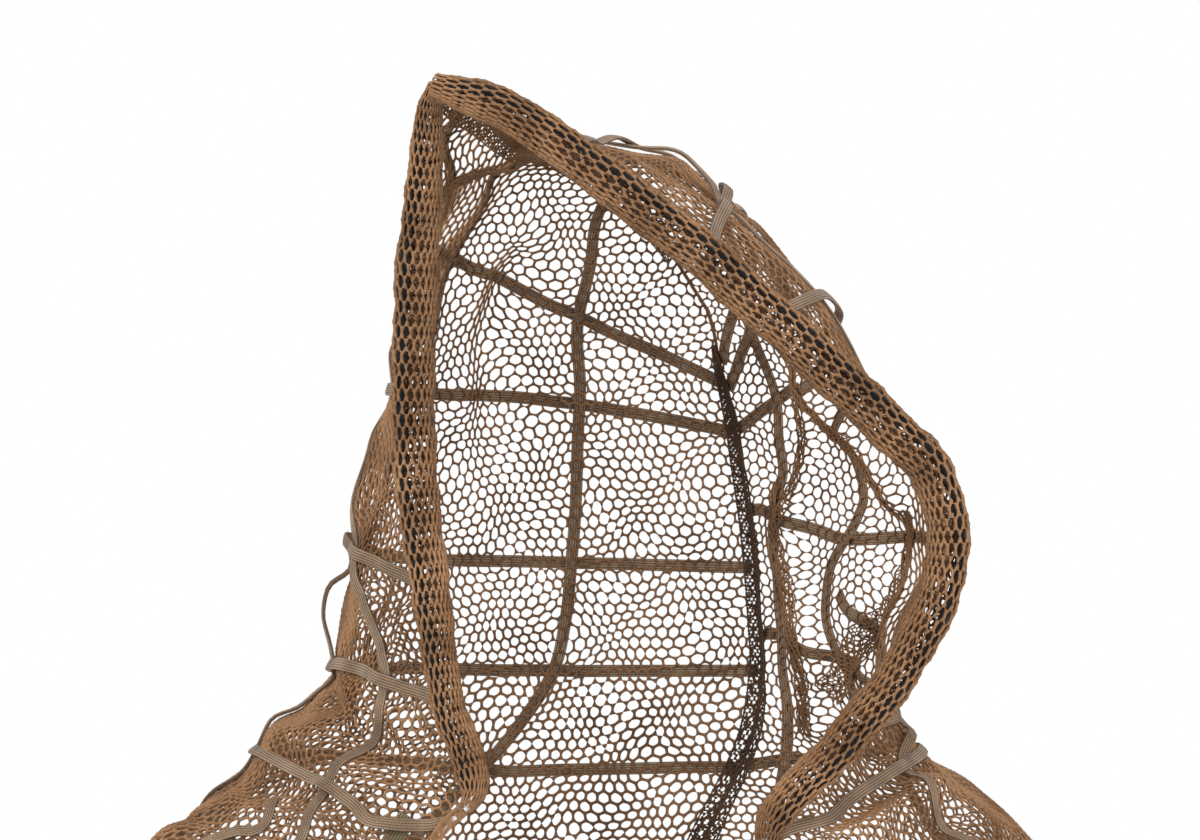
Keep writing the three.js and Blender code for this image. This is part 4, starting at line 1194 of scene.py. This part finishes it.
def cord_line(side, path, passed):
    """Places of a sewn cord's middle at even steps, each with its direction off the cloth."""
    path = np.array([(*place, 0)[:3] for place in path], float)
    at = np.linspace(0, len(path) - 1, (len(path) - 1) * STEPS_A_PLACE + 1)
    across, up, slack = curve_through(np.arange(len(path)), path, at).T
    ground = wall_point(side, across, up)
    normal = wall_normal(side, across, up)
    lift = STITCHED_AT + np.maximum(slack, 0) * MM
    for point in passed:
        near = 1 - smooth_step(np.linalg.norm(ground - point, axis=1), PASSING_NEAR, PASSING_FAR)
        lift = np.maximum(lift, STITCHED_AT + near * (CORD_THICK + 0.2 * MM))
    line, length = resample(np.hstack([ground + normal * lift[:, None], normal]), CORD_STEP)
    return line[:, :3], unit(line[:, 3:]), ground, length


def caught_in_seams(node, path):
    """A ring runs from tunnel to back seam, and a cord from the crown starts in its seam."""
    first, last = path[0], path[-1]
    if node.startswith("ring"):
        return [(0.005, first[1]), *path, (0.995, last[1])]
    if first[1] > CROWN_CORDS_ABOVE:
        return [(first[0], 0.995), *path]
    return path


def sewn_piece(node, path, passed, size, material, slot):
    width, thick, ribs = size
    path = caught_in_seams(node, path)
    centres, outs, ground, length = cord_line(node.split("_")[1], path, passed)
    section = lambda turn: ribbed_section(turn, width, thick, ribs)
    item = swept_piece(f"{node}_braid", centres, outs, section, 4 * ribs, material, slot)
    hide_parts(node)
    return ground, length


SEWN = [
    (CORDS, CORD_SIZE, CORD_BRAID, "cord"),
    (TAPES, TAPE_SIZE, TAPE_WEAVE, "tape"),
    (RINGS, CORD_SIZE, CORD_BRAID, "cord"),
]
lengths = {}
run_under = {"left": [], "right": []}
for paths, size, material, slot in SEWN:
    for node, path in paths.items():
        under = run_under[node.split("_")[1]]
        passed = under if paths is RINGS else []
        ground, lengths[node] = sewn_piece(node, path, passed, size, material, slot)
        if paths is not RINGS:
            under.extend(ground[::4])
print("sewn cord in all", round(sum(lengths.values()), 2), "m")
print({node: round(length, 3) for node, length in lengths.items()})

# %% [markdown]
# ## The seam
# Where the panels meet, both edges are turned inside and caught together: two layers of net,
# crossed at random, so hardly any hole stays open and the seam reads as a dark line. Down the back
# the seam's yarn is also painted darker, as shade.

# %% Seam allowance
SEAM_DEPTH = 1.6 * MM
SEAM_ROW = 2.6 * MM
SEAM_LENGTHS = {"crown": 0.26, "back": 0.42}
SEAM_THREADS = {"crown": 1.45 * MM, "back": 1.9 * MM}
# Half widths in millimetres, by how far along the seam: the crown is bunched at the peak
SEAM_HALF = {
    "crown": [(0.0, 10), (0.08, 11), (0.2, 7), (0.4, 5), (1.0, 4.5)],
    "back": [(0.0, 5), (1.0, 5)],
}
SEAM_COLUMNS = {"crown": 14, "back": 10}


def seam_place(part, side, along, inwards):
    """Places inside a panel, by how far along the seam they are and how far from it."""
    if part == "crown":
        across, up = 0.01 + 0.86 * along, 1 - inwards / HEIGHT
    else:
        across, up = 1 - inwards / GIRTH, 0.94 * (1 - along)
    crumple = 0.9 * np.sin(along * 90 + inwards * 0.8) * np.sin(along * 37 - inwards * 0.5)
    depth = SEAM_DEPTH + (0.5 + crumple * inwards / 12)[:, None] * MM
    return wall_point(side, across, up) - wall_normal(side, across, up) * depth


def seam_net(part, material):
    columns, rows = SEAM_COLUMNS[part], round(SEAM_LENGTHS[part] / SEAM_ROW)
    bm = brick_hexagons(columns, rows)
    knots = cut_sides(bm)
    drawn = drawn_places(bm)
    along = np.clip(drawn[:, 1] / rows, 0, 1)
    offset = drawn[:, 0] / columns * 2 - 1
    inwards = abs(offset) * np.interp(along, *zip(*SEAM_HALF[part]))
    left, right = (seam_place(part, side, along, inwards) for side in ("left", "right"))
    share = np.where(abs(offset) < 0.01, 0.5, offset > 0)[:, None]
    places = left * (1 - share) + right * share
    mesh = (bm, knots, places, np.ones(len(places)), SEAM_THREADS[part])
    return finish_net(f"seam_{part}", f"binding_{part}", *mesh, material, "binding")


# The back seam's allowance is the panels' net yarn made darker: painted shade between the doubled
# layers
SHADED_SEAM_YARN = yarn_finish("seam yarn in painted shade", (0.075, 0.038, 0.02), (0.16, 0.085, 0.045), 0.7)
seams = {"crown": seam_net("crown", NET_YARN), "back": seam_net("back", SHADED_SEAM_YARN)}
print("seams", {part: len(item.data.polygons) for part, item in seams.items()})

# %% [markdown]
# ## What the cloth was cut to
# Each panel was unrolled above, so its worn size is known. How far the net is stretched when it
# is worn isn't: a tenth each way is a guess, and the cut is that much smaller. Round threads
# with holes between them have less surface than plain cloth, and at the worn size three of the
# four nets would fall below the least share that it takes. The hem, the folded layers and the
# seam allowance belong to the panels, and their cloth isn't in the sizes below.

# %% Sheets
WORN_STRETCH = 1.1
for (side, part), item in panel_pieces.items():
    (width, height), area = worn_sizes[side, part]
    flat = (width / WORN_STRETCH, height / WORN_STRETCH)
    with_pieces = []
    if part == "hood":
        with_pieces = [tunnels[side], turned_edges[side]]
        with_pieces += [pleats[name] for name, row in PLEATS.items() if row[0] == side]
        with_pieces += [seams["crown" if side == "left" else "back"]]

# %% [markdown]
# ## Light and floor
# Plain soft studio light: a white surround, a broad key light from the front left and a weaker
# one from the right. The floor lies just below the hem.

# %% Studio
FLOOR_LEVEL = -0.43


def soft_light(name, place, aim, size, power):
    data = bpy.data.lights.new(name, "AREA")
    data.size = size
    data.energy = power
    item = bpy.data.objects.new(name, data)
    item.location = place
    item.rotation_euler = (Vector(aim) - Vector(place)).to_track_quat("-Z", "Y").to_euler()
    bpy.context.collection.objects.link(item)


def build_studio():
    bpy.context.scene.view_settings.view_transform = "Standard"
    world = bpy.data.worlds.new("studio")
    world.use_nodes = True
    world.node_tree.nodes["Background"].inputs["Color"].default_value = (1, 1, 1, 1)
    world.node_tree.nodes["Background"].inputs["Strength"].default_value = 1.0
    bpy.context.scene.world = world
    soft_light("key light", (-1.3, -1.9, 1.1), (0, 0, -0.15), 1.0, 26)
    soft_light("fill light", (1.6, -1.5, 0.4), (0, 0, -0.15), 1.2, 12)
    bm = bmesh.new()
    bmesh.ops.create_grid(bm, x_segments=1, y_segments=1, size=1.0)
    bmesh.ops.translate(bm, verts=bm.verts, vec=(0, 0, FLOOR_LEVEL))
    floor = new_object("floor", bm)
    material, _, shader = new_material("floor paint", roughness=0.9, sheen=0.0)
    shader.inputs["Base Color"].default_value = (0.8, 0.8, 0.8, 1)
    floor.data.materials.append(material)


build_studio()
print("studio built, floor at", FLOOR_LEVEL)
